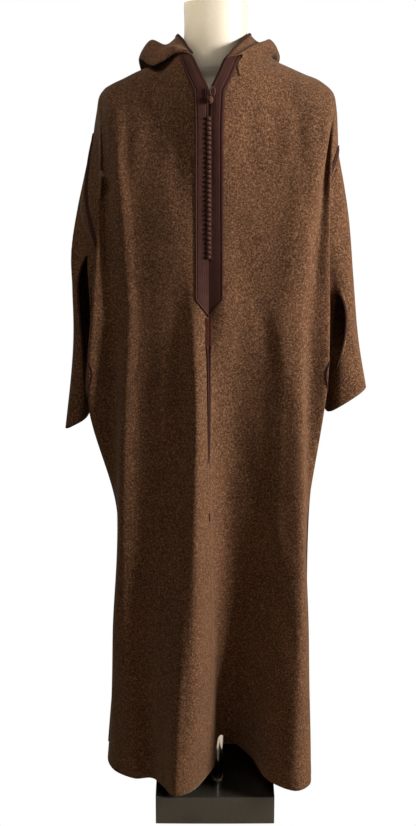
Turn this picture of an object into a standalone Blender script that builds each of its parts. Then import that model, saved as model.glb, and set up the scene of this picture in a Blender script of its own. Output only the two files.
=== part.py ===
"""A man's wool djellaba with its hood down, on a limbless dress form with a pole and a block base.

Metres, +Z up. The origin is the centre of the base's underside, the front faces -Y, and right
and left are the wearer's, so the right half lies on the -X side.

The cloth of the body is four quadrants, front and back of each half. A quadrant is a grid: its
columns are fold lines that run from the hem to the shoulder, its rows cross them. The fold
tables give, in millimetres, where each fold line passes at five named heights.
"""
import math

import bmesh
import bpy
import numpy as np

WALL = 0.0020            # thickness of the wool cloth
SEAM_GAP = 0.0003        # clearance between pieces that are sewn or laid together
BRAID = 0.0014           # thickness of the braid laid on the cloth
MM = 0.001

HEM_Z = 0.095
LEVELS = (HEM_Z, 0.40, 0.65, 0.93, 1.07)   # hem, shin, knee, hip, underarm
LOWER_ROWS = (HEM_Z, 0.165, 0.25, 0.34, 0.43, 0.53, 0.62, 0.71, 0.79, 0.865, 0.93, 1.0, 1.07)
UNDERARM = len(LOWER_ROWS) - 1             # the row at the bottom of the armhole
UPPER_STEPS = (0.10, 0.20, 0.31, 0.42, 0.53, 0.63, 0.70, 0.765, 0.825, 0.885, 0.945, 1.0)
RIDGE = UNDERARM + len(UPPER_STEPS)        # the row on the shoulder fold
V_BOTTOM = UNDERARM + 6                    # the row where the neck opening starts
HOOD_START = UNDERARM + 8                  # the row where the hood's seam starts
POCKET_ROWS = (9, 10, 11)                  # the side seam is open between the first and the last
HEM_LIFT_TO = 0.40                         # below this height the folds lift the hem

TRIM_WIDTH = 0.006       # braid on the side seams and armholes
SLIT_TRIM_WIDTH = 0.004  # braid beside the sleeve slits
BAND_TIP_RISE = 0.5      # the bands' point takes this share of the row above the underarm
BARE_ARMHOLE = {"right": 4, "left": 7}     # rows above the underarm with no braid, out of sight
ARMHOLE_TRIM_END = {"right": 8, "left": 10}
LAID_GAP = 0.0005        # clearance under braid
TRIM_INSET = 0.0014      # how far short of its seam the narrow braid stops
SLEEVE_INSET = 0.0008    # how far below the armhole seam a sleeve starts
SHARP_CREASE = 0.75      # cosine between a piece's normal and the shared one

BUTTONS = 30
BUTTON_TOP_Z = 1.436
BUTTON_LOW_Z = 1.180
BUTTON_SIZE = (0.0046, 0.0030, 0.0036)     # half sizes across, out and up
KNOT_SIZE = (0.0062, 0.0048, 0.0080)
KNOT_Z = 1.474
BUTTON_CLEARANCE = 0.0009                  # at the seam between the bands, which rise beside it

NECK_RADIUS = 0.061
FORM_TOP_Z = 1.657
FORM_LOW_Z = 0.85
POLE_RADIUS = 0.0125
POLE_X = 0.006
BASE_SIZE = 0.250
BASE_HEIGHT = 0.061

# Front of the right half. Each row: fold, place across the cloth, then x, y at hem, shin, knee,
# hip and underarm, and the height of the hem there.
FRONT_RIGHT = (
    ("centre", 0, (0, -58), (-6, -110), (-11, -122), (-13, -132), (-13, -134), 97),
    ("crest", 26, (-38, -150), (-32, -163), (-34, -158), (-36, -154), (-39, -144), 95),
    ("fall", 58, (-78, -187), (-64, -170), (-62, -148), (-60, -136), (-62, -137), 95),
    ("middle", 100, (-109, -140), (-108, -136), (-104, -128), (-101, -127), (-102, -129), 95),
    ("valley", 148, (-134, -108), (-140, -111), (-146, -113), (-146, -115), (-146, -119), 95),
    ("lobe", 185, (-168, -112), (-186, -112), (-186, -117), (-177, -118), (-170, -117), 95),
    ("side valley", 222, (-206, -82), (-209, -84), (-198, -86), (-204, -86), (-199, -95), 95),
    ("side fold", 256, (-224, -46), (-211, -55), (-197, -60), (-250, -98), (-240, -100), 95),
    ("under arm", 272, (-229, -26), (-208, -40), (-198, -50), (-254, -88), (-233, -77), 95),
    ("seam", 288, (-231, -10), (-205, -27), (-199, -41), (-252, -74), (-224, -50), 95),
)
FRONT_LEFT = (
    ("centre", 0, (0, -58), (-6, -110), (-11, -122), (-13, -132), (-13, -134), 97),
    ("crest", 26, (8, -30), (2, -82), (-1, -101), (4, -120), (14, -139), 150),
    ("floor", 58, (38, -25), (36, -62), (32, -84), (38, -107), (48, -128), 136),
    ("rise", 100, (77, -66), (82, -80), (84, -94), (88, -110), (94, -124), 120),
    ("slope", 148, (108, -126), (126, -112), (133, -116), (135, -122), (135, -126), 100),
    ("ridge", 188, (163, -163), (172, -130), (174, -124), (169, -122), (163, -120), 95),
    ("side valley", 222, (194, -138), (190, -104), (182, -94), (185, -94), (187, -104), 95),
    ("side fold", 256, (201, -92), (191, -72), (187, -72), (221, -92), (222, -97), 95),
    ("under arm", 272, (203, -68), (190, -54), (188, -57), (214, -78), (213, -76), 95),
    ("seam", 288, (203, -48), (190, -38), (190, -44), (208, -62), (205, -46), 95),
)
# The back of the right half. The left half's folds are the mirror image, a little narrower.
BACK = (
    ("centre", 0, (-4, 132), (-2, 124), (0, 118), (0, 116), (0, 117), 34),
    ("crest", 40, (-44, 178), (-42, 160), (-42, 146), (-44, 136), (-46, 126), 30),
    ("fall", 80, (-88, 158), (-84, 140), (-84, 130), (-84, 124), (-86, 121), 46),
    ("valley", 120, (-122, 112), (-124, 108), (-124, 106), (-124, 108), (-124, 113), 72),
    ("lobe", 160, (-158, 152), (-160, 134), (-160, 122), (-160, 115), (-160, 108), 86),
    ("side valley", 200, (-192, 100), (-190, 84), (-186, 78), (-194, 76), (-196, 80), 95),
    ("side fold", 240, (-222, 62), (-206, 44), (-198, 34), (-232, 20), (-212, 46), 95),
    ("under arm", 265, (-230, 26), (-209, 12), (-202, -4), (-248, -30), (-216, 2), 95),
    ("seam", 288, (-231, -10), (-205, -27), (-199, -41), (-252, -74), (-224, -50), 95),
)
BACK_LEFT_NARROWS = (0.88, 0.93, 0.95, 0.84, 0.91)   # left folds as a share of the right ones

# The shoulder fold, x and z from the neck point outwards, and how far along it each place across
# the cloth lies.
RIDGE_RIGHT = ((-69, 1557), (-88, 1549), (-127, 1538), (-166, 1521), (-196, 1506), (-221, 1492),
               (-231, 1458), (-238, 1420), (-241, 1398))
RIDGE_LEFT = ((94, 1556), (121, 1546), (151, 1531), (186, 1518), (207, 1508), (225, 1495),
              (236, 1462), (240, 1415), (242, 1374))
RIDGE_SHARE = ((0, 0.0), (26, 0.05), (58, 0.16), (100, 0.31), (148, 0.45), (185, 0.57),
               (222, 0.68), (256, 0.80), (272, 0.90), (288, 1.0))

# Handles that carry a fold line from the underarm height to the shoulder fold: x, y, z of the
# lower handle and of the upper one. The other folds take theirs from the arc of the shoulder.
SIDE_HANDLES = {
    ("right", "front", "side valley"): ((-208, -96, 1220), (-214, -86, 1440)),
    ("right", "front", "side fold"): ((-226, -102, 1230), (-212, -92, 1420)),
    ("right", "front", "under arm"): ((-214, -74, 1205), (-226, -58, 1385)),
    ("right", "back", "under arm"): ((-216, 46, 1200), (-234, 62, 1385)),
    ("left", "front", "side valley"): ((200, -106, 1220), (208, -88, 1440)),
    ("left", "front", "side fold"): ((219, -101, 1230), (216, -90, 1440)),
    ("left", "front", "under arm"): ((214, -74, 1215), (206, -66, 1400)),
    ("left", "back", "under arm"): ((202, 46, 1200), (228, 60, 1365)),
}
# The armhole seam from the underarm up to the shoulder fold: x, y, z.
ARMHOLE = {
    ("right", "front"): ((-224, -50, 1070), (-224, -58, 1118), (-234, -54, 1172), (-255, -38, 1215),
                         (-267, -16, 1262), (-258, -6, 1330), (-241, 0, 1398)),
    ("left", "front"): ((205, -46, 1070), (204, -54, 1128), (206, -52, 1196), (212, -46, 1256),
                        (222, -34, 1308), (238, -18, 1347), (242, 0, 1374)),
    ("right", "back"): ((-224, -50, 1070), (-224, -20, 1100), (-228, 6, 1148), (-236, 22, 1208),
                        (-246, 28, 1275), (-248, 18, 1345), (-241, 0, 1398)),
    ("left", "back"): ((205, -46, 1070), (206, -18, 1100), (210, 8, 1150), (220, 24, 1205),
                       (232, 28, 1265), (241, 16, 1335), (242, 0, 1374)),
}
# The inner edge of the cloth above the underarm row: centre seam, neck opening, then neckline.
CENTRE_EDGE = {
    ("right", "front"): ((-13, -135, 1140), (-13, -135, 1210), (-13, -134, 1280), (-13, -133, 1350),
                         (-13, -131, 1420), (-12, -127, 1489), (-28, -112, 1522), (-44, -90, 1553),
                         (-55, -68, 1558), (-63, -46, 1559), (-68, -23, 1558), (-69, 0, 1557)),
    ("left", "front"): ((-13, -135, 1140), (-13, -135, 1210), (-13, -134, 1280), (-13, -133, 1350),
                        (-13, -131, 1420), (-12, -127, 1489), (4, -112, 1522), (21, -90, 1553),
                        (50, -68, 1555), (74, -46, 1556), (89, -23, 1557), (94, 0, 1556)),
    ("right", "back"): ((0, 120, 1140), (0, 124, 1210), (0, 126, 1280), (0, 125, 1350),
                        (0, 117, 1420), (0, 100, 1475), (0, 84, 1512), (0, 64.5, 1538),
                        (-24, 61, 1541), (-46, 49, 1547), (-62, 27, 1553), (-69, 0, 1557)),
    ("left", "back"): ((0, 120, 1140), (0, 124, 1210), (0, 126, 1280), (0, 125, 1350),
                       (0, 117, 1420), (0, 100, 1475), (0, 84, 1512), (0, 64.5, 1538),
                       (28, 62, 1541), (58, 51, 1546), (82, 28, 1552), (94, 0, 1556)),
}
# The outer edge of each placket band above the underarm row, and on to the shoulder fold.
BAND_EDGE = {
    "right": ((-39, -141, 1140), (-39, -139, 1210), (-39, -137, 1280), (-39, -136, 1350),
              (-39, -133, 1420), (-41, -126, 1486), (-54, -110, 1514), (-69, -84, 1553),
              (-73, -63, 1557), (-76, -42, 1557), (-78, -21, 1556), (-79, 0, 1554)),
    "left": ((14, -139, 1140), (14, -138, 1210), (14, -137, 1280), (14, -136, 1350),
             (14, -133, 1420), (17, -126, 1486), (31, -110, 1514), (48, -84, 1551),
             (66, -63, 1553), (86, -42, 1554), (99, -21, 1554), (103, 0, 1553)),
}

# The hood, one row for each place round the neckline: how far round (0 at the front edge, 1 at the
# centre back), then y, z and spread x of the inner layer, the fold, the outer layer and the mouth.
HOOD_RIGHT = (
    (0.00, (-53, -89, 1560), (-61, -88, 1566), (-58, -86, 1575), (-49, -86, 1571)),
    (0.22, (-78, -46, 1566), (-94, -34, 1574), (-86, -38, 1590), (-68, -50, 1588)),
    (0.45, (-102, 4, 1560), (-142, 14, 1562), (-120, 16, 1594), (-76, 4, 1603)),
    (0.60, (-110, 44, 1550), (-150, 66, 1546), (-122, 62, 1588), (-79, 48, 1598)),
    (0.75, (-86, 88, 1515), (-112, 132, 1452), (-96, 116, 1548), (-62, 82, 1588)),
    (0.88, (-44, 122, 1470), (-54, 162, 1320), (-50, 150, 1500), (-34, 100, 1580)),
    (1.00, (0, 134, 1440), (0, 168, 1268), (0, 172, 1450), (0, 106, 1576)),
)
HOOD_LEFT = (
    (0.00, (30, -90, 1560), (38, -92, 1566), (34, -88, 1575), (26, -86, 1571)),
    (0.22, (70, -62, 1564), (84, -54, 1570), (72, -52, 1588), (52, -62, 1588)),
    (0.45, (104, -6, 1564), (121, 4, 1568), (102, 6, 1594), (68, -10, 1604)),
    (0.60, (112, 40, 1552), (127, 58, 1550), (106, 56, 1590), (73, 40, 1599)),
    (0.75, (86, 86, 1515), (104, 130, 1452), (92, 114, 1548), (60, 80, 1588)),
    (0.88, (44, 122, 1470), (54, 162, 1320), (50, 150, 1500), (34, 100, 1580)),
    (1.00, (0, 134, 1440), (0, 168, 1268), (0, 172, 1450), (0, 106, 1576)),
)
HOOD_ROWS = 12

# Sleeves: how far along, then the outer line, the under line, and half the width front to back.
SLEEVE_RIGHT = (
    (0.00, (-241, 0, 1398), (-224, -50, 1070), 60),
    (0.25, (-269, 4, 1262), (-240, -30, 1044), 60),
    (0.50, (-282, 10, 1130), (-246, 2, 1000), 64),
    (0.75, (-286, 12, 985), (-250, 20, 930), 72),
    (1.00, (-303, 12, 828), (-258, 18, 850), 82),
)
SLEEVE_LEFT = (
    (0.00, (242, 0, 1374), (205, -46, 1070), 60),
    (0.25, (264, 4, 1250), (230, -30, 1046), 62),
    (0.50, (276, 6, 1135), (230, -6, 1010), 70),
    (0.75, (288, 6, 1010), (228, 2, 935), 78),
    (1.00, (303, 6, 914), (224, 8, 862), 84),
)
SLEEVE_STEPS = (0.0, 0.09, 0.2, 0.32, 0.44, 0.56, 0.68, 0.79, 0.9, 1.0)
# The sleeve slits: the column that parts, counted from the underarm, the steps where the slit
# starts and ends, and half its width where it is widest.
SLEEVE_SLIT = {"right": (4, 1, 4, 0.010), "left": (3, 3, 6, 0.012)}


def material(name, color, roughness, metallic=0.0):
    """A Principled material with one colour."""
    made = bpy.data.materials.new(name)
    made.use_nodes = True
    shader = made.node_tree.nodes["Principled BSDF"]
    shader.inputs["Base Color"].default_value = (*color, 1.0)
    shader.inputs["Roughness"].default_value = roughness
    shader.inputs["Metallic"].default_value = metallic
    made.diffuse_color = (*color, 1.0)
    return made


def through(knots, values, at):
    """A smooth curve through the values at the knots, read at one or more places."""
    knots = np.asarray(knots, float)
    values = np.asarray(values, float)
    at = np.asarray(at, float)
    flat = values.reshape(len(knots), -1)
    slopes = np.gradient(flat, knots, axis=0)
    i = np.clip(np.searchsorted(knots, at, side="right") - 1, 0, len(knots) - 2)
    step = (knots[i + 1] - knots[i])[..., None]
    t = ((at - knots[i])[..., None]) / step
    curve = (flat[i] * (1 + 2 * t) * (1 - t) ** 2 + slopes[i] * step * t * (1 - t) ** 2
             + flat[i + 1] * t * t * (3 - 2 * t) + slopes[i + 1] * step * t * t * (t - 1))
    return curve.reshape(at.shape + values.shape[1:])


def bezier(a, b, c, d, t):
    """Points at t on the cubic curve from a to d that b and c pull."""
    t = np.asarray(t, float)[:, None]
    return (1 - t) ** 3 * a + 3 * t * (1 - t) ** 2 * b + 3 * t * t * (1 - t) * c + t ** 3 * d


def ridge_point(side, share):
    """The point at a share of the way along the shoulder fold, from the neck point."""
    line = np.array(RIDGE_RIGHT if side == "right" else RIDGE_LEFT, float) * MM
    along = np.concatenate([[0.0], np.cumsum(np.linalg.norm(np.diff(line, axis=0), axis=1))])
    x, z = through(along / along[-1], line, share)
    return np.array((x, 0.0, z))


def fold_rows(side, face):
    """The fold table of a quadrant; the left back is the right back mirrored and narrowed."""
    if face == "front":
        return FRONT_RIGHT if side == "right" else FRONT_LEFT
    if side == "right":
        return BACK
    mirrored = []
    for name, across, *stations, hem in BACK:
        if name == "seam":
            mirrored.append(FRONT_LEFT[-1])
            continue
        moved = [(-x * s, y) for (x, y), s in zip(stations, BACK_LEFT_NARROWS)]
        mirrored.append((name, across, *moved, hem))
    return tuple(mirrored)


def fold_line(side, face, row):
    """One fold from the hem to the shoulder fold, a point for each row of the cloth."""
    name, across, *stations, hem = row
    heights = np.array(LOWER_ROWS)
    flat = through(LEVELS, np.array(stations, float) * MM, heights)
    lift = np.clip((HEM_LIFT_TO - heights) / (HEM_LIFT_TO - HEM_Z), 0, 1) ** 1.5
    lower = np.column_stack([flat, heights + (hem * MM - HEM_Z) * lift])
    if name == "centre":
        upper = np.array(CENTRE_EDGE[side, face], float) * MM
    elif name == "crest" and face == "front":
        upper = np.array(BAND_EDGE[side], float) * MM
    elif name == "seam":
        edge = np.array(ARMHOLE[side, face], float) * MM
        upper = through(np.linspace(0, 1, len(edge)), edge, UPPER_STEPS)
    else:
        upper = shoulder_arc(side, face, name, across, lower[-1])
    return np.vstack([lower, upper])


def shoulder_arc(side, face, name, across, start):
    """The upper part of a fold: up the chest or back, then over to the shoulder fold."""
    places, shares = zip(*RIDGE_SHARE)
    share = float(np.interp(across, places, shares))
    end = ridge_point(side, share)
    if (side, face, name) in SIDE_HANDLES:
        low, high = (np.array(p, float) * MM for p in SIDE_HANDLES[side, face, name])
    else:
        forward = -1 if face == "front" else 1
        outer = np.clip((share - 0.55) / 0.35, 0, 1)
        low = start + (0.35 * (end[0] - start[0]), forward * 0.010 * (1 - outer),
                       0.62 * (end[2] - start[2]))
        high = end + (0.0, forward * (0.106 - 0.046 * outer), -0.012 - 0.040 * outer)
    return bezier(start, low, high, end, UPPER_STEPS)


def columns(last):
    """Places across a quadrant: the band, the folds, and the trim beside the seam."""
    middle = np.linspace(26, last - TRIM_WIDTH / MM, 19)
    return np.concatenate([[0, 13], middle, [last]])


def quadrant(side, face):
    """The grid of points of one quadrant, rows from the hem, columns from the centre."""
    rows = fold_rows(side, face)
    places = np.array([row[1] for row in rows], float)
    lines = np.array([fold_line(side, face, row) for row in rows])
    across = columns(places[-1])
    grid = np.transpose(through(places, lines, across), (1, 0, 2))
    open_pocket(grid, face == "back")
    inwards = grid[:, -3] - grid[:, -1]
    inwards /= np.linalg.norm(inwards, axis=1, keepdims=True)
    grid[:, -2] = grid[:, -1] + TRIM_WIDTH * inwards
    return grid


def open_pocket(grid, back):
    """Part the side seam into a pocket slit: the back edge stands out behind the front edge."""
    low, middle, high = POCKET_ROWS
    outwards = np.sign(grid[middle, -1, 0])
    grid[middle, -1] += (outwards * 0.006, 0.014, 0.0) if back else (-outwards * 0.002, -0.002, 0.0)


class Skin:
    """The whole cloth surface before it gets its thickness: shared points and named faces."""

    def __init__(self):
        self.points = []
        self.faces = []
        self.owners = []

    def add_points(self, grid):
        """Put a grid's points in and give back their numbers in the grid's shape."""
        first = len(self.points)
        self.points.extend(grid.reshape(-1, 3))
        return np.arange(first, first + grid.shape[0] * grid.shape[1]).reshape(grid.shape[:2])

    def add_faces(self, numbers, owner, flip=False):
        """Join a grid of point numbers with quads."""
        for r in range(numbers.shape[0] - 1):
            for c in range(numbers.shape[1] - 1):
                quad = [numbers[r, c], numbers[r, c + 1], numbers[r + 1, c + 1], numbers[r + 1, c]]
                ring = [q for i, q in enumerate(quad) if q != quad[i - 1]]
                self.faces.append(ring[::-1] if flip else ring)
                self.owners.append(owner)

    def piece(self, owner):
        """The faces of one piece."""
        return [[int(i) for i in f] for f, o in zip(self.faces, self.owners) if o == owner]


def mean_normals(points, faces):
    """The outward direction at each point, the mean of the faces round it."""
    total = np.zeros_like(points)
    for face in faces:
        corner = points[face]
        normal = np.cross(corner[2] - corner[0], corner[-1] - corner[1])
        size = np.linalg.norm(normal)
        if size > 0:
            total[face] += normal / size
    length = np.linalg.norm(total, axis=1, keepdims=True)
    return total / np.maximum(length, 1e-12)


def piece_normals(points, faces, shared):
    """A piece's normals, mitred with its neighbour's where the crease between them is shallow.

    At a sharp crease, as in the armpit, the piece keeps its own normal, and its edge point also
    moves inwards by half a seam gap.
    """
    own = mean_normals(points, faces)
    sharp = (own * shared).sum(axis=1) < SHARP_CREASE
    normals = np.where(sharp[:, None], own, shared)
    inwards = np.where(sharp[:, None], -0.6 * SEAM_GAP * own, 0.0)
    return normals, points + inwards


def seam_shift(points, faces, inset):
    """How each edge point moves into its own piece, to part it from the next one."""
    edges = {}
    for face in faces:
        for a, b in zip(face, face[1:] + face[:1]):
            edges[a, b] = face
    shift = {}
    for (a, b), face in edges.items():
        if (b, a) in edges:
            continue
        corner = points[face]
        normal = np.cross(corner[2] - corner[0], corner[-1] - corner[1])
        inward = np.cross(normal, points[b] - points[a])
        size = np.linalg.norm(inward)
        if size == 0:
            continue
        for p in (a, b):
            shift.setdefault(p, []).append(inward / size)
    return {p: inset * np.mean(v, axis=0) / max(np.linalg.norm(np.mean(v, axis=0)), 0.5)
            for p, v in shift.items()}


def walled(name, points, faces, normals, wall, finish, lift=0.0, inset=0.6 * SEAM_GAP):
    """A closed piece: the outer faces, the same faces a wall further in, and the rim between."""
    used = sorted({p for face in faces for p in face})
    place = {p: i for i, p in enumerate(used)}
    shift = seam_shift(points, faces, inset)
    outer = [points[p] + lift * normals[p] + shift.get(p, 0.0) for p in used]
    inner = [points[p] + (lift - wall) * normals[p] + shift.get(p, 0.0) for p in used]
    count = len(used)
    rings = [[place[face[0]], place[face[i]], place[face[i + 1]]]
             for face in faces for i in range(1, len(face) - 1)]
    walls = list(rings) + [[p + count for p in reversed(ring)] for ring in rings]
    directed = {(a, b) for ring in rings for a, b in zip(ring, ring[1:] + ring[:1])}
    for a, b in directed:
        if (b, a) not in directed:
            walls.append([b, a, a + count, b + count])
    return put_mesh(name, outer + inner, walls, finish)


def put_mesh(name, points, faces, finish):
    """Make an object from points and faces, smooth but for its sharp edges."""
    mesh = bpy.data.meshes.new(name)
    mesh.from_pydata([tuple(p) for p in points], [], [[int(i) for i in f] for f in faces])
    mesh.materials.append(finish)
    mesh.shade_smooth()
    mesh.set_sharp_from_angle(angle=math.radians(50))
    made = bpy.data.objects.new(name, mesh)
    bpy.context.scene.collection.objects.link(made)
    return made


def sleeve_grid(side, loop):
    """Points of a sleeve from its armhole loop to the cuff; column 0 is the underarm line."""
    table = SLEEVE_RIGHT if side == "right" else SLEEVE_LEFT
    shares = [row[0] for row in table]
    steps = np.array(SLEEVE_STEPS)
    outer = through(shares, np.array([row[1] for row in table], float) * MM, steps)
    under = through(shares, np.array([row[2] for row in table], float) * MM, steps)
    half = through(shares, np.array([[row[3]] for row in table], float) * MM, steps)[:, 0]
    turn = math.pi * np.concatenate([[0.0], UPPER_STEPS, 2 - np.array(UPPER_STEPS[-2::-1])])
    reach = (0.5 - 0.5 * np.sign(np.cos(turn)) * np.abs(np.cos(turn)) ** 0.8)[None, :, None]
    ring = under[:, None] * (1 - reach) + outer[:, None] * reach
    bulge = np.sign(np.sin(turn)) * np.abs(np.sin(turn)) ** 0.7
    ring[:, :, 1] -= half[:, None] * bulge
    keep = np.clip(1 - steps / 0.7, 0, 1)[:, None, None]
    keep = keep ** 2 * (3 - 2 * keep)
    return ring + (loop[None] - ring[0][None]) * keep


def hood_grid(neckline, side_rows):
    """Points of half the hood, one column for each neckline point, rows from seam to mouth."""
    shares = [row[0] for row in side_rows]
    stations = np.array([row[1:] for row in side_rows], float) * MM
    along = np.concatenate([[0.0], np.cumsum(np.linalg.norm(np.diff(neckline, axis=0), axis=1))])
    guides = through(shares, stations.reshape(len(shares), -1), along / along[-1]).reshape(-1, 4, 3)
    rows = []
    for start, (inner, fold, outer, mouth) in zip(neckline, guides):
        line = np.array((start, inner, fold, outer, mouth))
        length = np.concatenate([[0.0], np.cumsum(np.linalg.norm(np.diff(line, axis=0), axis=1))])
        last = 1 - TRIM_WIDTH / length[-1]
        places = np.append(np.linspace(0, last, HOOD_ROWS - 1), 1.0)
        rows.append(through(length / length[-1], line, places))
    return np.transpose(np.array(rows), (1, 0, 2))


def ellipsoid(name, centre, half, finish, segments=8, rings=5):
    """A closed knot shape with the given half sizes."""
    bm = bmesh.new()
    bmesh.ops.create_uvsphere(bm, u_segments=segments, v_segments=rings, radius=1.0)
    for vertex in bm.verts:
        vertex.co = [c + h * v for c, h, v in zip(centre, half, vertex.co)]
    mesh = bpy.data.meshes.new(name)
    bm.to_mesh(mesh)
    bm.free()
    mesh.materials.append(finish)
    mesh.shade_smooth()
    made = bpy.data.objects.new(name, mesh)
    bpy.context.scene.collection.objects.link(made)
    return made


def turned(name, profile, segments, finish):
    """A closed solid from rings (z, half width, depth forward, depth back, x of the centre)."""
    turn = np.linspace(0, 2 * math.pi, segments, endpoint=False)
    points, faces = [], []
    for z, half, front, back, middle, power in profile:
        cosine, sine = np.cos(turn), np.sin(turn)
        depth = np.where(sine < 0, front, back)
        x = middle + half * np.sign(cosine) * np.abs(cosine) ** power
        y = depth * np.sign(sine) * np.abs(sine) ** power
        points.extend(np.column_stack([x, y, np.full(segments, z)]))
    for r in range(len(profile) - 1):
        for c in range(segments):
            d = (c + 1) % segments
            faces.append([r * segments + c, r * segments + d,
                          (r + 1) * segments + d, (r + 1) * segments + c])
    faces.append(list(range(segments))[::-1])
    faces.append([(len(profile) - 1) * segments + c for c in range(segments)])
    return put_mesh(name, points, faces, finish)


def box(name, size, height, finish):
    """The block base, its underside at the floor."""
    bm = bmesh.new()
    bmesh.ops.create_cube(bm, size=1.0)
    for vertex in bm.verts:
        vertex.co = (vertex.co.x * size, vertex.co.y * size, (vertex.co.z + 0.5) * height)
    mesh = bpy.data.meshes.new(name)
    bm.to_mesh(mesh)
    bm.free()
    mesh.materials.append(finish)
    made = bpy.data.objects.new(name, mesh)
    bpy.context.scene.collection.objects.link(made)
    return made


def build_skin():
    """Lay out the body halves, sleeves and hood as one surface with shared seam points."""
    skin = Skin()
    grids = {(side, face): quadrant(side, face)
             for side in ("right", "left") for face in ("front", "back")}
    numbers = {}
    for (side, face), grid in grids.items():
        numbers[side, face] = skin.add_points(grid)
    for side in ("right", "left"):
        front, back = numbers[side, "front"], numbers[side, "back"]
        share(front, back)
    front_right, front_left = numbers["right", "front"], numbers["left", "front"]
    front_left[:V_BOTTOM + 1, 0] = front_right[:V_BOTTOM + 1, 0]
    back_right, back_left = numbers["right", "back"], numbers["left", "back"]
    back_left[:HOOD_START + 1, 0] = back_right[:HOOD_START + 1, 0]
    for side in ("right", "left"):
        mirrored = side == "left"
        skin.add_faces(numbers[side, "front"], f"body_{side}", flip=not mirrored)
        skin.add_faces(numbers[side, "back"], f"body_{side}", flip=mirrored)
        add_sleeve(skin, numbers, side)
    add_hood(skin, numbers)
    return skin, numbers


def share(front, back):
    """Let the back use the front's points along the side seam and the shoulder fold."""
    closed = [r for r in range(UNDERARM + 1) if not POCKET_ROWS[0] < r < POCKET_ROWS[-1]]
    for r in closed:
        back[r, -1] = front[r, -1]
    back[RIDGE] = front[RIDGE]


def add_sleeve(skin, numbers, side):
    """Join a sleeve to its armhole loop, in two parts so that its slit stays open between them."""
    front = numbers[side, "front"][UNDERARM:, -1]
    back = numbers[side, "back"][UNDERARM:, -1]
    loop = np.concatenate([front, back[-2:0:-1]])
    grid = sleeve_grid(side, np.array([skin.points[i] for i in loop]))
    column, start, end, half = SLEEVE_SLIT[side]
    middle = slice(start + 1, end)
    apart = grid[middle, column + 1] - grid[middle, column - 1]
    apart *= half / np.linalg.norm(apart, axis=1, keepdims=True)
    outer_edge = grid[middle, column] + apart
    grid[middle, column] -= apart
    tube = skin.add_points(grid)
    tube[0] = loop
    tube = np.column_stack([tube, tube[:, 0]])
    outer = tube[:, column:].copy()
    outer[middle, 0] = skin.add_points(outer_edge[None])[0]
    skin.add_faces(tube[:, :column + 1], f"sleeve_{side}", flip=side == "left")
    skin.add_faces(outer, f"sleeve_{side}", flip=side == "left")
    numbers[side, "slit"] = outer[start:end + 1, :2]


def add_hood(skin, numbers):
    """Join the hood to the neckline, right front edge round the back to the left front edge."""
    halves = {}
    for side, rows in (("right", HOOD_RIGHT), ("left", HOOD_LEFT)):
        front = numbers[side, "front"][HOOD_START:, 0]
        back = numbers[side, "back"][HOOD_START:, 0]
        seam = np.concatenate([front, back[-2::-1]])
        grid = hood_grid(np.array([skin.points[i] for i in seam]), rows)
        halves[side] = skin.add_points(grid)
        halves[side][0] = seam
    right, left = halves["right"], halves["left"]
    left[:, -1] = right[:, -1]
    whole = np.column_stack([right, left[:, -2::-1]])
    skin.add_faces(whole, "hood", flip=True)
    numbers["hood"] = whole


def pointed_band(points, normals, grid, flip):
    """A placket band: the two columns beside the centre seam, mitred to a point at the bottom."""
    columns_cut = [0, 1, 2, 1]
    low, high = grid[UNDERARM, columns_cut], grid[UNDERARM + 1, columns_cut]
    share = np.array([BAND_TIP_RISE] * 3 + [0.5 * BAND_TIP_RISE])[:, None]
    cut = points[low] * (1 - share) + points[high] * share
    cut_normals = normals[low] * (1 - share) + normals[high] * share
    cut_normals /= np.linalg.norm(cut_normals, axis=1, keepdims=True)
    first = len(points)
    numbers = np.vstack([[first, first + 1, first + 2], grid[UNDERARM + 1:HOOD_START + 1, :3]])
    faces = quads(numbers, (0, len(numbers) - 1), (0, 2), flip)
    tip, side = int(low[0]), first + 3
    point = [[tip, side, first], [first, side, first + 1], [side, first + 2, first + 1]]
    faces += [ring[::-1] for ring in point] if flip else point
    return np.vstack([points, cut]), np.vstack([normals, cut_normals]), faces


def slit_braid(side, points, normals, slit, finish, lift):
    """Braid along the outer edge of a sleeve slit, on the sleeve's own points moved out."""
    edge, beside = points[slit[:, 0]], points[slit[:, 1]]
    across = beside - edge
    across /= np.linalg.norm(across, axis=1, keepdims=True)
    strip = np.concatenate([edge, edge + SLIT_TRIM_WIDTH * across])
    out = normals[slit[:, 0]] + normals[slit[:, 1]]
    out /= np.linalg.norm(out, axis=1, keepdims=True)
    directions = np.concatenate([out, out])
    numbers = np.arange(len(strip)).reshape(2, -1).T
    faces = quads(numbers, (0, len(slit) - 1), (0, 1), side == "left")
    walled(f"sleeve_slit_braid_{side}", strip, faces, directions, BRAID, finish,
           lift + 3 * SEAM_GAP)


def quads(numbers, rows, cols, flip):
    """The faces of part of a grid, as rings of point numbers."""
    rings = []
    for r in range(rows[0], rows[1]):
        for c in range(cols[0], cols[1]):
            quad = [numbers[r, c], numbers[r, c + 1], numbers[r + 1, c + 1], numbers[r + 1, c]]
            ring = [int(q) for i, q in enumerate(quad) if q != quad[i - 1]]
            rings.append(ring[::-1] if flip else ring)
    return rings


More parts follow.
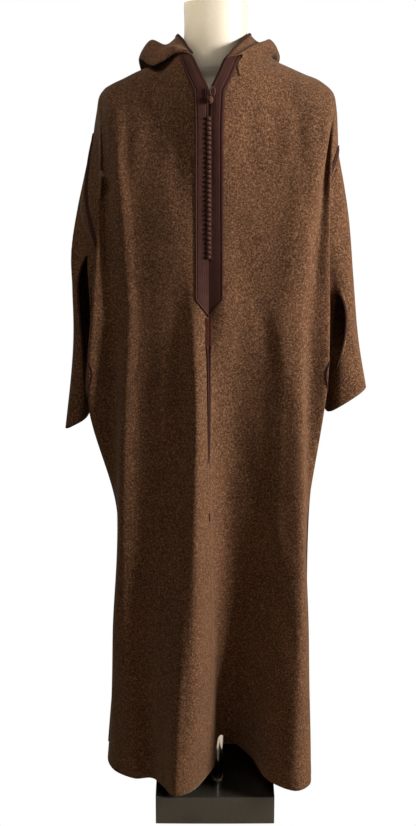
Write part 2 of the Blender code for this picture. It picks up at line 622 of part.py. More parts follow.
def build():
    """Make every piece of the robe and its stand."""
    for old in list(bpy.data.objects):
        bpy.data.objects.remove(old)
    wool = material("brown_wool", (0.14, 0.075, 0.038), 0.92)
    silk = material("aubergine_braid", (0.030, 0.011, 0.010), 0.62)
    cream = material("cream_form", (0.62, 0.58, 0.49), 0.55)
    chrome = material("chrome_pole", (0.78, 0.78, 0.80), 0.12, 1.0)
    black = material("black_base", (0.012, 0.013, 0.014), 0.10)

    skin, numbers = build_skin()
    points = np.array(skin.points)
    shared = mean_normals(points, skin.faces)
    surface = {}
    for owner in ("body_right", "body_left", "sleeve_right", "sleeve_left", "hood"):
        faces = skin.piece(owner)
        surface[owner] = piece_normals(points, faces, shared)
        normals, places = surface[owner]
        inset = SLEEVE_INSET if owner.startswith("sleeve") else 0.6 * SEAM_GAP
        walled(owner, places, faces, normals, WALL, wool, inset=inset)

    lift = LAID_GAP + BRAID
    for side in ("right", "left"):
        turned_over = side == "right"
        front, back = numbers[side, "front"], numbers[side, "back"]
        normals, places = surface[f"body_{side}"]
        band_places, band_normals, band = pointed_band(places, normals, front, turned_over)
        walled(f"placket_band_{side}", band_places, band, band_normals, BRAID, silk,
               lift + SEAM_GAP)
        last = front.shape[1] - 2
        for face, grid, flip in (("front", front, turned_over), ("back", back, not turned_over)):
            strip = quads(grid, (1, UNDERARM - 1), (last, last + 1), flip)
            walled(f"side_braid_{face}_{side}", places, strip, normals, BRAID, silk, lift, TRIM_INSET)
        rows = (UNDERARM + BARE_ARMHOLE[side], UNDERARM + ARMHOLE_TRIM_END[side])
        ring = quads(front, rows, (last, last + 1), turned_over)
        walled(f"armhole_braid_{side}", places, ring, normals, BRAID, silk, lift, TRIM_INSET)
        normals, places = surface[f"sleeve_{side}"]
        slit_braid(side, places, normals, numbers[side, "slit"], silk, lift)
    hood = numbers["hood"]
    normals, places = surface["hood"]
    edge = quads(hood, (HOOD_ROWS - 2, HOOD_ROWS - 1), (0, hood.shape[1] - 1), True)
    walled("hood_edge_braid", places, edge, normals, BRAID, silk, lift)

    front = points[numbers["right", "front"][:, 0]]
    pitch = (BUTTON_TOP_Z - BUTTON_LOW_Z) / (BUTTONS - 1)
    stand_off = lift + BUTTON_CLEARANCE + BUTTON_SIZE[1]
    for i in range(BUTTONS):
        z = BUTTON_TOP_Z - i * pitch
        y = float(np.interp(z, front[:, 2], front[:, 1])) - stand_off
        ellipsoid(f"button_{i + 1:02d}", (-0.013, y, z), BUTTON_SIZE, silk)
    y = float(np.interp(KNOT_Z, front[:, 2], front[:, 1])) - lift - BUTTON_CLEARANCE - KNOT_SIZE[1]
    ellipsoid("collar_knot", (-0.011, y, KNOT_Z), KNOT_SIZE, silk)

    form = ((FORM_LOW_Z, 0.150, 0.092, 0.092, 0, 0.80), (0.92, 0.146, 0.090, 0.088, 0, 0.80),
            (1.02, 0.142, 0.088, 0.086, 0, 0.80), (1.12, 0.148, 0.096, 0.094, 0, 0.80),
            (1.24, 0.160, 0.108, 0.104, 0, 0.80), (1.34, 0.166, 0.106, 0.104, 0, 0.80),
            (1.42, 0.172, 0.090, 0.092, 0, 0.80), (1.465, 0.176, 0.070, 0.074, 0, 0.82),
            (1.492, 0.160, 0.052, 0.058, 0, 0.85), (1.512, 0.122, 0.050, 0.054, 0, 0.90),
            (1.528, 0.088, 0.056, 0.057, 0, 0.95), (1.545, 0.067, 0.060, 0.060, 0, 1.0),
            (1.60, NECK_RADIUS, NECK_RADIUS, NECK_RADIUS, 0, 1.0),
            (FORM_TOP_Z, NECK_RADIUS, NECK_RADIUS, NECK_RADIUS, 0, 1.0))
    turned("dress_form", form, 28, cream)
    low, high = BASE_HEIGHT + SEAM_GAP, FORM_LOW_Z - SEAM_GAP
    pole = [(z, POLE_RADIUS, POLE_RADIUS, POLE_RADIUS, POLE_X, 1.0) for z in (low, high)]
    turned("stand_pole", pole, 20, chrome)
    box("stand_base", BASE_SIZE, BASE_HEIGHT, black)


build()
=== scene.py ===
# %% [markdown]
# # A wool djellaba with its hood down, on a form and its stand
#
# The robe is two lengths of brown melange wool, each folded over one shoulder, so it is front and
# back in one. They meet at the centre front and the centre back. Straight sleeves, a hood, braided
# bands beside the neck opening, a row of knotted buttons and some needlework finish it.
#
# Every piece of cloth here is a grid: rows run along the cloth, columns across it. A grid is worked
# out as whole numpy arrays, put into a mesh, and given its thickness by a Solidify modifier. Trim is
# laid on the same grids, so it always follows the cloth.

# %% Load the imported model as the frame
import math

import bmesh
import bpy
import numpy as np
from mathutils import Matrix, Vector


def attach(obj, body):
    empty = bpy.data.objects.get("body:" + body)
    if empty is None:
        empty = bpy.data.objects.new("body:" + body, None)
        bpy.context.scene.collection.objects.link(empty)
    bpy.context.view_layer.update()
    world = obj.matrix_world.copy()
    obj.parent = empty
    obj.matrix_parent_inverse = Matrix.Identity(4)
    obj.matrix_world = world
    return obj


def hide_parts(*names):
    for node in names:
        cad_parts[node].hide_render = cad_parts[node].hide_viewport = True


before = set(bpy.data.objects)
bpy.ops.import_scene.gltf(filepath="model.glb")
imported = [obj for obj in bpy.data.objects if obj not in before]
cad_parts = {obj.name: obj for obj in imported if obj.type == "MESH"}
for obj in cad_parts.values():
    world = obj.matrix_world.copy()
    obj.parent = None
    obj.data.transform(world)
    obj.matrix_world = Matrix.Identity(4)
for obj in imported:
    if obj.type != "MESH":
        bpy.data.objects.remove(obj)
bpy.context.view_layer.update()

MM = 0.001
BODY = "root"

# %% [markdown]
# ## Camera
#
# The camera stands a little over the height of the chest, 2.6 m in front of the robe, and looks
# down by about 12 degrees, so the base shows its top face and the hem curves downwards.

# %% Place the camera
CAMERA_AT = (-0.01465, -2.6406, 1.3934)
CAMERA_DOWN = 11.634     # degrees below level
CAMERA_LENS = 57.36

camera_data = bpy.data.cameras.new("camera")
camera_data.sensor_width = 36.0
camera_data.lens = CAMERA_LENS
camera = bpy.data.objects.new("camera", camera_data)
camera.location = CAMERA_AT
camera.rotation_euler = (math.radians(90 - CAMERA_DOWN), 0.0, 0.0)
bpy.context.scene.collection.objects.link(camera)
bpy.context.scene.camera = camera
print("camera at", CAMERA_AT)

# %% [markdown]
# ## Light
#
# The strongest light comes from the viewer's right, at the height of the chest. A large area lamp
# gives that, a weaker one above and to the left lights the shoulders, a faint one in front keeps the
# shaded folds readable, and one behind draws the edge of the shoulders. A very small lamp with a
# narrow spread lights the neck. The surroundings look white, but light the robe only a little.


# %% Lamps and surroundings
def area_lamp(name, at, towards, size, watts, tint, spread=180):
    """An area lamp at a place, turned so that its -Z axis points towards another place."""
    data = bpy.data.lights.new(name, "AREA")
    data.shape = "RECTANGLE"
    data.size, data.size_y = size
    data.energy = watts
    data.color = tint
    data.spread = math.radians(spread)
    lamp = bpy.data.objects.new(name, data)
    lamp.location = at
    aim = Vector(towards) - Vector(at)
    lamp.rotation_euler = aim.to_track_quat("-Z", "Y").to_euler()
    bpy.context.scene.collection.objects.link(lamp)


area_lamp("key", (2.4, -0.95, 1.70), (0.0, 0.0, 1.15), (0.6, 0.9), 205, (1.0, 0.96, 0.91))
area_lamp("front", (0.5, -3.2, 2.0), (0.0, 0.0, 1.1), (1.4, 1.2), 4, (1.0, 0.86, 0.70))
area_lamp("top", (-0.8, -0.9, 3.0), (0.0, 0.0, 1.35), (1.2, 1.0), 26, (1.0, 0.95, 0.88))
area_lamp("rim", (-1.2, 2.0, 2.2), (0.0, 0.0, 1.1), (1.2, 1.4), 8, (1.0, 0.98, 0.96))
area_lamp("neck", (-1.5, -2.0, 2.1), (-0.02, 0.0, 1.66), (0.1, 0.1), 0.12, (1.0, 0.92, 0.78), 7)

bpy.context.scene.view_settings.view_transform = "Standard"
SEEN_WHITE = (1.0, 1.0, 1.0, 1.0)
world = bpy.data.worlds.new("room")
bpy.context.scene.world = world
world.use_nodes = True
tree = world.node_tree
tree.nodes.clear()
seen, lights = (tree.nodes.new("ShaderNodeBackground") for _ in range(2))
seen.inputs["Color"].default_value = SEEN_WHITE
lights.inputs["Color"].default_value = (1.0, 0.76, 0.55, 1.0)
lights.inputs["Strength"].default_value = 0.042
path = tree.nodes.new("ShaderNodeLightPath")
mix = tree.nodes.new("ShaderNodeMixShader")
out = tree.nodes.new("ShaderNodeOutputWorld")
tree.links.new(path.outputs["Is Camera Ray"], mix.inputs[0])
tree.links.new(lights.outputs[0], mix.inputs[1])
tree.links.new(seen.outputs[0], mix.inputs[2])
tree.links.new(mix.outputs[0], out.inputs["Surface"])

# %% [markdown]
# ## Writing shaders as sums
#
# A finish is easier to read as an expression than as a drawing of boxes. `Wire` stands for one
# number in a material: adding or multiplying wires puts in Math nodes. `Finish` holds a material
# and makes every other kind of node with one method.


# %% Shader helpers
class Wire:
    """One number or colour in a material. Arithmetic on it adds Math nodes."""

    def __init__(self, finish, socket):
        self.finish, self.socket = finish, socket

    def _maths(self, operation, first, second):
        return self.finish.node("ShaderNodeMath", {"operation": operation}, {0: first, 1: second})

    def __add__(self, other):
        return self._maths("ADD", self, other)

    __radd__ = __add__

    def __sub__(self, other):
        return self._maths("SUBTRACT", self, other)

    def __rsub__(self, other):
        return self._maths("SUBTRACT", other, self)

    def __mul__(self, other):
        return self._maths("MULTIPLY", self, other)

    __rmul__ = __mul__

    def __pow__(self, other):
        return self._maths("POWER", self, other)


class Finish:
    """A Principled material, with one method that adds any node."""

    def __init__(self, name, slot):
        self.material = bpy.data.materials.new(name)
        self.material.use_nodes = True
        self.tree = self.material.node_tree
        self.shader = self.tree.nodes["Principled BSDF"]
        self.slot = slot

    def node(self, kind, settings=None, sockets=None, result=0):
        """Add a node: its settings first, then the values or wires of its sockets."""
        made = self.tree.nodes.new(kind)
        for key, value in (settings or {}).items():
            if key == "stops":
                ramp = made.color_ramp.elements
                while len(ramp) < len(value):
                    ramp.new(0.5)
                for stop, (place, shade) in zip(ramp, value):
                    stop.position, stop.color = place, (shade, shade, shade, 1.0)
            else:
                setattr(made, key, value)
        for key, value in (sockets or {}).items():
            self.put(made.inputs[key], value)
        return Wire(self, made.outputs[result])

    def put(self, socket, value):
        """Link a wire to a socket, or write a plain value in it."""
        if isinstance(value, Wire):
            self.tree.links.new(value.socket, socket)
        elif isinstance(value, tuple) and socket.type == "RGBA":
            socket.default_value = (*value, 1.0)
        else:
            socket.default_value = value

    def give(self, **sockets):
        """Set the shader's sockets; an underscore in a name stands for a space."""
        for key, value in sockets.items():
            self.put(self.shader.inputs[key.replace("_", " ")], value)
        return self

    def noise(self, scale, detail=2.0, roughness=0.5, where=None):
        """Cloudy values from 0 to 1 over the piece's own coordinates, in metres."""
        where = where or self.node("ShaderNodeTexCoord", result=3)
        return self.node("ShaderNodeTexNoise", {"normalize": True},
                         {"Vector": where, "Scale": scale, "Detail": detail, "Roughness": roughness})

    def ramp(self, value, *stops):
        """A number turned into another through black to white stops."""
        return self.node("ShaderNodeValToRGB", {"stops": stops}, {"Fac": value})

    def mixed(self, share, first, second):
        """A colour between two others."""
        return self.node("ShaderNodeMix", {"data_type": "RGBA"}, {0: share, 6: first, 7: second}, 2)

    def wave(self, value):
        """The sine of a number."""
        return self.node("ShaderNodeMath", {"operation": "SINE"}, {0: value})

    def across_along(self, layer):
        """The two coordinates of the piece's own map, in metres across and along."""
        both = self.node("ShaderNodeUVMap", {"uv_map": layer})
        parts = self.tree.nodes.new("ShaderNodeSeparateXYZ")
        self.tree.links.new(both.socket, parts.inputs[0])
        return Wire(self, parts.outputs[0]), Wire(self, parts.outputs[1])

    def bumped(self, height, distance, strength=1.0, under=None):
        """A normal that follows a height, given in metres by the distance for a height of 1."""
        sockets = {"Height": height, "Distance": distance, "Strength": strength}
        if under:
            sockets["Normal"] = under
        return self.node("ShaderNodeBump", None, sockets)


print("shader helpers ready")

# %% [markdown]
# ## The wool
#
# The cloth is woven from yarn spun of dark brown and pale tan fibres, then brushed. From a step
# away it is a fine speckle, a few millimetres across, over slow changes of tone. So two scales of
# noise mix the two fibre colours, a third picks out single pale hairs, and the brushed nap is a
# fine bump under a little sheen. The twill of the weave is only just there.


# %% Melange wool
FIBRE_DARK = (0.018, 0.0055, 0.0018)
FIBRE_BROWN = (0.084, 0.035, 0.0130)
FIBRE_TAN = (0.260, 0.145, 0.078)


def wool_finish():
    """Brown melange: speckle over cloud, pale hairs, nap bump."""
    wool = Finish("melange_wool", "wool")
    across, along = wool.across_along("cloth")
    speckle = wool.noise(270.0, 3.0, 0.72)
    grain = wool.noise(820.0, 2.0, 0.6)
    cloud = wool.noise(9.0, 3.0, 0.55)
    fleck = wool.ramp(speckle * 0.66 + grain * 0.34 + (cloud - 0.5) * 0.16,
                      (0.36, 0.0), (0.50, 0.45), (0.64, 1.0))
    body = wool.mixed(fleck, FIBRE_DARK, FIBRE_BROWN)
    pale = wool.ramp(speckle * 0.45 + grain * 0.55, (0.50, 0.0), (0.66, 1.0))
    tone = wool.mixed(pale * 0.62, body, FIBRE_TAN)
    twill = wool.wave((across + along) * 2600.0)
    nap = speckle * 0.6 + grain * 0.8 + twill * 0.06
    wool.give(Base_Color=tone, Roughness=0.93, Specular_IOR_Level=0.18,
              Sheen_Weight=0.08, Sheen_Roughness=0.5, Sheen_Tint=(0.86, 0.64, 0.46),
              Normal=wool.bumped(nap, 0.00022, 0.8))
    return wool


WOOL = wool_finish()
print("made", WOOL.material.name)

# %% [markdown]
# ## Silk braid, form, steel and lacquer
#
# The bands are flat silk braid: threads slant one way in one row and the other way in the next, so
# each row shows tiny chevrons. The strips carry a map in metres, and a sine of the two coordinates
# draws the threads, in the bump and as painted shade between them, with more painted shade in the
# groove between rows. The form is cream with a faint mottle, the pole is polished, and the block is
# black lacquer with a soft haze of dust.


# %% Braid and the hard finishes
THREADS = 2 * math.pi / 0.0011           # one thread every 1.1 mm
ROW_WIDTH = 0.0042                       # one row of plaited braid


def braid_finish(name, dark, light, row_width=ROW_WIDTH):
    """Silk braid: slanting threads turning at each row, painted shade between rows and threads."""
    silk = Finish(name, "braid")
    across, along = silk.across_along("cloth")
    side = silk.node("ShaderNodeMath", {"operation": "PINGPONG"}, {0: across, 1: row_width / 2})
    threads = silk.wave((along + side) * THREADS) * 0.5 + 0.5
    groove = silk.ramp(side * (2 / row_width), (0.0, 0.0), (0.22, 1.0))
    worn = silk.noise(60.0, 3.0, 0.6)
    # The colour is painted shade in the groove between rows and between threads, plus random wear.
    shade = groove * 0.55 + threads * 0.25 + (worn - 0.5) * 0.5
    silk.give(Base_Color=silk.mixed(shade, dark, light), Roughness=0.72 - threads * 0.1,
              Specular_IOR_Level=0.08,
              Normal=silk.bumped(threads * 0.4 + groove * 0.6, 0.0006, 0.8))
    return silk


def form_finish():
    """Cream coated form with a faint mottle."""
    cream = Finish("cream_coat", "form")
    cloud = cream.noise(14.0, 4.0, 0.6)
    cream.give(Base_Color=cream.mixed(cloud, (0.395, 0.355, 0.280), (0.440, 0.400, 0.325)),
               Roughness=0.46 + cream.noise(40.0) * 0.12,
               Normal=cream.bumped(cream.noise(260.0, 3.0), 0.0003, 0.35))
    return cream


def steel_finish():
    """Polished chrome with fine turning marks."""
    steel = Finish("polished_chrome", "chrome")
    steel.give(Base_Color=(0.80, 0.80, 0.82), Metallic=1.0,
               Roughness=0.07 + steel.noise(55.0, 3.0) * 0.08)
    return steel


def lacquer_finish():
    """Gloss black with a haze of dust and faint wipe marks."""
    black = Finish("black_lacquer", "base")
    haze = black.noise(38.0, 4.0, 0.62)
    specks = black.ramp(black.noise(950.0, 1.0), (0.66, 0.0), (0.74, 1.0))
    black.give(Base_Color=black.mixed(specks * 0.30, (0.019, 0.0180, 0.0145), (0.20, 0.19, 0.17)),
               Roughness=0.10 + haze * 0.14, Coat_Weight=0.45)
    return black


# Each braid: the silk in painted shade, then the silk itself; painted shade and wear mix them.
BAND = braid_finish("band_braid", (0.0070, 0.0020, 0.0015), (0.046, 0.0155, 0.0115))
CORD = braid_finish("trim_cord", (0.0085, 0.0030, 0.0026), (0.040, 0.0145, 0.0120), 0.0030)
NEEDLE = braid_finish("needlework_silk", (0.016, 0.0040, 0.0028), (0.085, 0.0230, 0.0150), 0.0014)
LOOP = braid_finish("loop_silk", (0.018, 0.0072, 0.0056), (0.090, 0.0410, 0.0320), 0.0014)
FORM, STEEL, LACQUER = form_finish(), steel_finish(), lacquer_finish()
print("materials", len(bpy.data.materials))

# %% [markdown]
# ## From arrays to meshes
#
# Four helpers do all the work with arrays. `through` draws a smooth curve through knots, for any
# number of curves at once. `read_at` reads a grid between its points, so trim can be laid along any
# line on the cloth. `put_grid` turns a grid into a mesh with a map in metres. `facing` gives the
# outward direction at every point from the slopes along the rows and columns.


# %% Array helpers
def through(knots, values, at):
    """Cubic Hermite curve: each stretch blends its end values and end slopes."""
    knots, values = np.asarray(knots, float), np.asarray(values, float)
    at = np.asarray(at, float)
    flat = values.reshape(len(knots), -1)
    slopes = np.gradient(flat, knots, axis=0)
    i = np.clip(np.searchsorted(knots, at, side="right") - 1, 0, len(knots) - 2)
    step = (knots[i + 1] - knots[i])[..., None]
    t = (at - knots[i])[..., None] / step
    curve = (flat[i] * (1 + 2 * t) * (1 - t) ** 2 + slopes[i] * step * t * (1 - t) ** 2
             + flat[i + 1] * t * t * (3 - 2 * t) + slopes[i + 1] * step * t * t * (t - 1))
    return curve.reshape(at.shape + values.shape[1:])


def bezier(a, b, c, d, t):
    """Cubic curve from a to d: the four points weighted by the cubic Bernstein terms."""
    t = np.asarray(t, float)[:, None]
    return (1 - t) ** 3 * a + 3 * t * (1 - t) ** 2 * b + 3 * t * t * (1 - t) * c + t ** 3 * d


def read_at(grid, row, column):
    """Grid values at fractional rows and columns: the four nearest, weighted by closeness."""
    row = np.clip(row, 0, grid.shape[0] - 1)
    column = np.clip(column, 0, grid.shape[1] - 1)
    r = np.minimum(row.astype(int), grid.shape[0] - 2)
    c = np.minimum(column.astype(int), grid.shape[1] - 2)
    u, v = (row - r)[..., None], (column - c)[..., None]
    return ((grid[r, c] * (1 - v) + grid[r, c + 1] * v) * (1 - u)
            + (grid[r + 1, c] * (1 - v) + grid[r + 1, c + 1] * v) * u)


def facing(grid, turned=False):
    """Unit normals: the slope along the rows crossed with the slope along the columns."""
    normal = np.cross(np.gradient(grid, axis=0), np.gradient(grid, axis=1))
    normal /= np.maximum(np.linalg.norm(normal, axis=-1, keepdims=True), 1e-12)
    return -normal if turned else normal


def lengths(line):
    """How far along a line each of its points is."""
    return np.concatenate([[0.0], np.cumsum(np.linalg.norm(np.diff(line, axis=0), axis=1))])


def put_mesh(name, points, faces, finish, uv=None):
    """A mesh object from arrays, with its map and finish. It rides on the body."""
    mesh = bpy.data.meshes.new(name)
    mesh.from_pydata(points.reshape(-1, 3).tolist(), [], faces.tolist())
    mesh.materials.append(finish.material)
    if uv is not None:
        corners = np.empty(len(mesh.loops), int)
        mesh.loops.foreach_get("vertex_index", corners)
        mesh.uv_layers.new(name="cloth").data.foreach_set("uv", uv.reshape(-1, 2)[corners].ravel())
    mesh.shade_smooth()
    piece = bpy.data.objects.new(name, mesh)
    bpy.context.scene.collection.objects.link(piece)
    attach(piece, BODY)
    return piece


def grid_faces(rows, columns, wrap=False, flip=False):
    """Quads between neighbouring rows and columns; wrap joins the last column to the first."""
    number = np.arange(rows * columns).reshape(rows, columns)
    if wrap:
        number = np.column_stack([number, number[:, :1]])
    quads = np.stack([number[:-1, :-1], number[:-1, 1:], number[1:, 1:], number[1:, :-1]], axis=-1)
    quads = quads.reshape(-1, 4)
    return quads[:, ::-1] if flip else quads


def put_grid(name, grid, finish, uv=None, wrap=False, flip=False):
    """One grid as one piece."""
    return put_mesh(name, grid, grid_faces(*grid.shape[:2], wrap, flip), finish, uv)


def welded(piece, apart=0.0002):
    """Merge points that coincide, as along a sewn seam."""
    bm = bmesh.new()
    bm.from_mesh(piece.data)
    bmesh.ops.remove_doubles(bm, verts=bm.verts, dist=apart)
    bm.to_mesh(piece.data)
    bm.free()
    return piece


def walled(piece, thickness):
    """Give a surface its thickness, inwards from the outer face."""
    wall = piece.modifiers.new("wall", "SOLIDIFY")
    wall.thickness = thickness
    wall.offset = -1.0
    wall.use_even_offset = True
    wall.thickness_clamp = 0.6
    return piece


print("array helpers ready")

# %% [markdown]
# ## How the cloth hangs
#
# The folds are the main thing about a robe on a stand. Each table gives fold lines from the centre
# to the side seam. A row names the fold, says how far across the cloth it lies, in millimetres, and
# where it passes, x and y, at five heights: hem, shin, knee, hip and underarm. The last number is
# the height of the hem there. Smooth curves through these places make the cloth.

# %% Fold tables
HEM_Z = 0.095
LEVELS = (HEM_Z, 0.40, 0.65, 0.93, 1.07)
HEM_LIFT_TO = 0.40

FRONT_RIGHT = (
    ("centre", 0, (0, -58), (-6, -110), (-11, -122), (-13, -132), (-13, -134), 97),
    ("crest", 26, (-38, -150), (-32, -163), (-34, -158), (-36, -154), (-39, -144), 95),
    ("fall", 58, (-78, -187), (-64, -170), (-62, -148), (-60, -136), (-62, -137), 95),
    ("middle", 100, (-109, -140), (-108, -136), (-104, -128), (-101, -127), (-102, -129), 95),
    ("valley", 148, (-134, -108), (-140, -111), (-146, -113), (-146, -115), (-146, -119), 95),
    ("lobe", 185, (-168, -112), (-186, -112), (-186, -117), (-177, -118), (-170, -117), 95),
    ("side valley", 222, (-206, -82), (-209, -84), (-198, -86), (-204, -86), (-199, -95), 95),
    ("side fold", 256, (-224, -46), (-211, -55), (-197, -60), (-250, -98), (-240, -100), 95),
    ("under arm", 272, (-229, -26), (-208, -40), (-198, -50), (-254, -88), (-233, -77), 95),
    ("seam", 288, (-231, -10), (-205, -27), (-199, -41), (-252, -74), (-224, -50), 95),
)
FRONT_LEFT = (
    ("centre", 0, (0, -58), (-6, -110), (-11, -122), (-13, -132), (-13, -134), 97),
    ("crest", 26, (8, -30), (2, -82), (-1, -101), (4, -120), (14, -139), 150),
    ("floor", 58, (38, -25), (36, -62), (32, -84), (38, -107), (48, -128), 136),
    ("rise", 100, (77, -66), (82, -80), (84, -94), (88, -110), (94, -124), 120),
    ("slope", 148, (108, -126), (126, -112), (133, -116), (135, -122), (135, -126), 100),
    ("ridge", 188, (163, -163), (172, -130), (174, -124), (169, -122), (163, -120), 95),
    ("side valley", 222, (194, -138), (190, -104), (182, -94), (185, -94), (187, -104), 95),
    ("side fold", 256, (201, -92), (191, -72), (187, -72), (221, -92), (222, -97), 95),
    ("under arm", 272, (203, -68), (190, -54), (188, -57), (214, -78), (213, -76), 95),
    ("seam", 288, (203, -48), (190, -38), (190, -44), (208, -62), (205, -46), 95),
)
BACK = (
    ("centre", 0, (-4, 132), (-2, 124), (0, 118), (0, 116), (0, 117), 34),
    ("crest", 40, (-44, 178), (-42, 160), (-42, 146), (-44, 136), (-46, 126), 30),
    ("fall", 80, (-88, 158), (-84, 140), (-84, 130), (-84, 124), (-86, 121), 46),
    ("valley", 120, (-122, 112), (-124, 108), (-124, 106), (-124, 108), (-124, 113), 72),
    ("lobe", 160, (-158, 152), (-160, 134), (-160, 122), (-160, 115), (-160, 108), 86),
    ("side valley", 200, (-192, 100), (-190, 84), (-186, 78), (-194, 76), (-196, 80), 95),
    ("side fold", 240, (-222, 62), (-206, 44), (-198, 34), (-232, 20), (-212, 46), 95),
    ("under arm", 265, (-230, 26), (-209, 12), (-202, -4), (-248, -30), (-216, 2), 95),
    ("seam", 288, (-231, -10), (-205, -27), (-199, -41), (-252, -74), (-224, -50), 95),
)
BACK_LEFT_NARROWS = (0.88, 0.93, 0.95, 0.84, 0.91)   # left folds as a share of the right ones

# %% [markdown]
# Above the underarm the cloth goes over the chest or the back to the shoulder fold. The shoulder
# line, the armhole, the edge of the neck opening and the outer edge of each band have tables of
# their own: x, y, z in millimetres. The other folds swing over the shoulder on a curve with two
# handles.

# %% Shoulder, armhole and neck tables
UPPER_KNOTS = (0.0, 0.10, 0.20, 0.31, 0.42, 0.53, 0.63, 0.70, 0.765, 0.825, 0.885, 0.945, 1.0)
V_BOTTOM, HOOD_START = 6, 8      # knots where the neck opening and the hood's seam start

RIDGE = {
    "right": ((-69, 1557), (-88, 1549), (-127, 1538), (-166, 1521), (-196, 1506), (-221, 1492),
              (-231, 1458), (-238, 1420), (-241, 1398)),
    "left": ((94, 1556), (121, 1546), (151, 1531), (186, 1518), (207, 1508), (225, 1495),
             (236, 1462), (240, 1415), (242, 1374)),
}
RIDGE_SHARE = ((0, 0.0), (26, 0.05), (58, 0.16), (100, 0.31), (148, 0.45), (185, 0.57),
               (222, 0.68), (256, 0.80), (272, 0.90), (288, 1.0))
SIDE_HANDLES = {
    ("right", "front", "side valley"): ((-208, -96, 1220), (-214, -86, 1440)),
    ("right", "front", "side fold"): ((-226, -102, 1230), (-212, -92, 1420)),
    ("right", "front", "under arm"): ((-214, -74, 1205), (-226, -58, 1385)),
    ("right", "back", "under arm"): ((-216, 46, 1200), (-234, 62, 1385)),
    ("left", "front", "side valley"): ((200, -106, 1220), (208, -88, 1440)),
    ("left", "front", "side fold"): ((219, -101, 1230), (216, -90, 1440)),
    ("left", "front", "under arm"): ((214, -74, 1215), (206, -66, 1400)),
    ("left", "back", "under arm"): ((202, 46, 1200), (228, 60, 1365)),
}
ARMHOLE = {
    ("right", "front"): ((-224, -50, 1070), (-224, -58, 1118), (-234, -54, 1172), (-255, -38, 1215),
                         (-267, -16, 1262), (-258, -6, 1330), (-241, 0, 1398)),
    ("left", "front"): ((205, -46, 1070), (204, -54, 1128), (206, -52, 1196), (212, -46, 1256),
                        (222, -34, 1308), (238, -18, 1347), (242, 0, 1374)),
    ("right", "back"): ((-224, -50, 1070), (-224, -20, 1100), (-228, 6, 1148), (-236, 22, 1208),
                        (-246, 28, 1275), (-248, 18, 1345), (-241, 0, 1398)),
    ("left", "back"): ((205, -46, 1070), (206, -18, 1100), (210, 8, 1150), (220, 24, 1205),
                       (232, 28, 1265), (241, 16, 1335), (242, 0, 1374)),
}
FRONT_EDGE = ((-13, -135, 1140), (-13, -135, 1210), (-13, -134, 1280), (-13, -133, 1350),
              (-13, -131, 1420), (-12, -127, 1489))
BACK_EDGE = ((0, 120, 1140), (0, 124, 1210), (0, 126, 1280), (0, 125, 1350),
             (0, 117, 1420), (0, 100, 1475))
NECK_EDGE = {
    ("right", "front"): ((-28, -112, 1522), (-44, -90, 1553), (-55, -68, 1558), (-63, -46, 1559),
                         (-68, -23, 1558), (-69, 0, 1557)),
    ("left", "front"): ((4, -112, 1522), (21, -90, 1553), (50, -68, 1555), (74, -46, 1556),
                        (89, -23, 1557), (94, 0, 1556)),
    ("right", "back"): ((0, 84, 1512), (0, 64.5, 1538), (-24, 61, 1541), (-46, 49, 1547),
                        (-62, 27, 1553), (-69, 0, 1557)),
    ("left", "back"): ((0, 84, 1512), (0, 64.5, 1538), (28, 62, 1541), (58, 51, 1546),
                       (82, 28, 1552), (94, 0, 1556)),
}
BAND_EDGE = {
    "right": ((-39, -141, 1140), (-39, -139, 1210), (-39, -137, 1280), (-39, -136, 1350),
              (-39, -133, 1420), (-41, -126, 1486), (-54, -110, 1514), (-69, -84, 1553),
              (-73, -63, 1557), (-76, -42, 1557), (-78, -21, 1556), (-79, 0, 1554)),
    "left": ((14, -139, 1140), (14, -138, 1210), (14, -137, 1280), (14, -136, 1350),
             (14, -133, 1420), (17, -126, 1486), (31, -110, 1514), (48, -84, 1551),
             (66, -63, 1553), (86, -42, 1554), (99, -21, 1554), (103, 0, 1553)),
}

# %% [markdown]
# ## The grid of one quarter
#
# A quarter of the robe, say the front of the right half, is a grid of about 165 rows by 97 columns,
# so a point every few millimetres. `fold_line` runs one fold from hem to shoulder. Then all the
# columns are read off smooth curves drawn across the folds.

# %% Quarter grids
HEIGHTS = np.concatenate([np.linspace(HEM_Z, 0.93, 86)[:-1], np.linspace(0.93, 1.07, 17)])
UNDERARM = len(HEIGHTS) - 1
V_STEP, HOOD_STEP = UPPER_KNOTS[V_BOTTOM], UPPER_KNOTS[HOOD_START]
STEPS = np.concatenate([np.linspace(0, V_STEP, 43)[1:], np.linspace(V_STEP, HOOD_STEP, 8)[1:],
                        np.linspace(HOOD_STEP, 1, 17)[1:]])
V_ROW = UNDERARM + 42
HOOD_ROW = V_ROW + 7
ACROSS = np.linspace(0, 288, 97)             # millimetres across the cloth
COLUMNS_PER_MM = (len(ACROSS) - 1) / ACROSS[-1]
POCKET = (0.865, 1.0)                        # the side seam is open between these heights


def edge_rows(lower_end, knots, table):
    """One edge of the cloth above the underarm, split at the neck opening so it can turn there."""
    line = np.vstack([lower_end, np.array(table, float) * MM])
    below = STEPS[STEPS <= V_STEP + 1e-9]
    above = STEPS[STEPS > V_STEP + 1e-9]
    return np.vstack([through(knots[:V_BOTTOM + 1], line[:V_BOTTOM + 1], below),
                      through(knots[V_BOTTOM:], line[V_BOTTOM:], above)])


def swing(side, face, name, across, start):
    """A fold above the underarm: a cubic curve over the chest or back to the shoulder line."""
    share = float(np.interp(across, *zip(*RIDGE_SHARE)))
    line = np.array(RIDGE[side], float) * MM
    along = lengths(line)
    x, z = through(along / along[-1], line, share)
    end = np.array((x, 0.0, z))
    if (side, face, name) in SIDE_HANDLES:
        low, high = (np.array(p, float) * MM for p in SIDE_HANDLES[side, face, name])
    else:
        forward = -1 if face == "front" else 1
        outer = np.clip((share - 0.55) / 0.35, 0, 1)
        low = start + (0.35 * (end[0] - start[0]), forward * 0.010 * (1 - outer),
                       0.62 * (end[2] - start[2]))
        high = end + (0.0, forward * (0.106 - 0.046 * outer), -0.012 - 0.040 * outer)
    return bezier(start, low, high, end, STEPS)


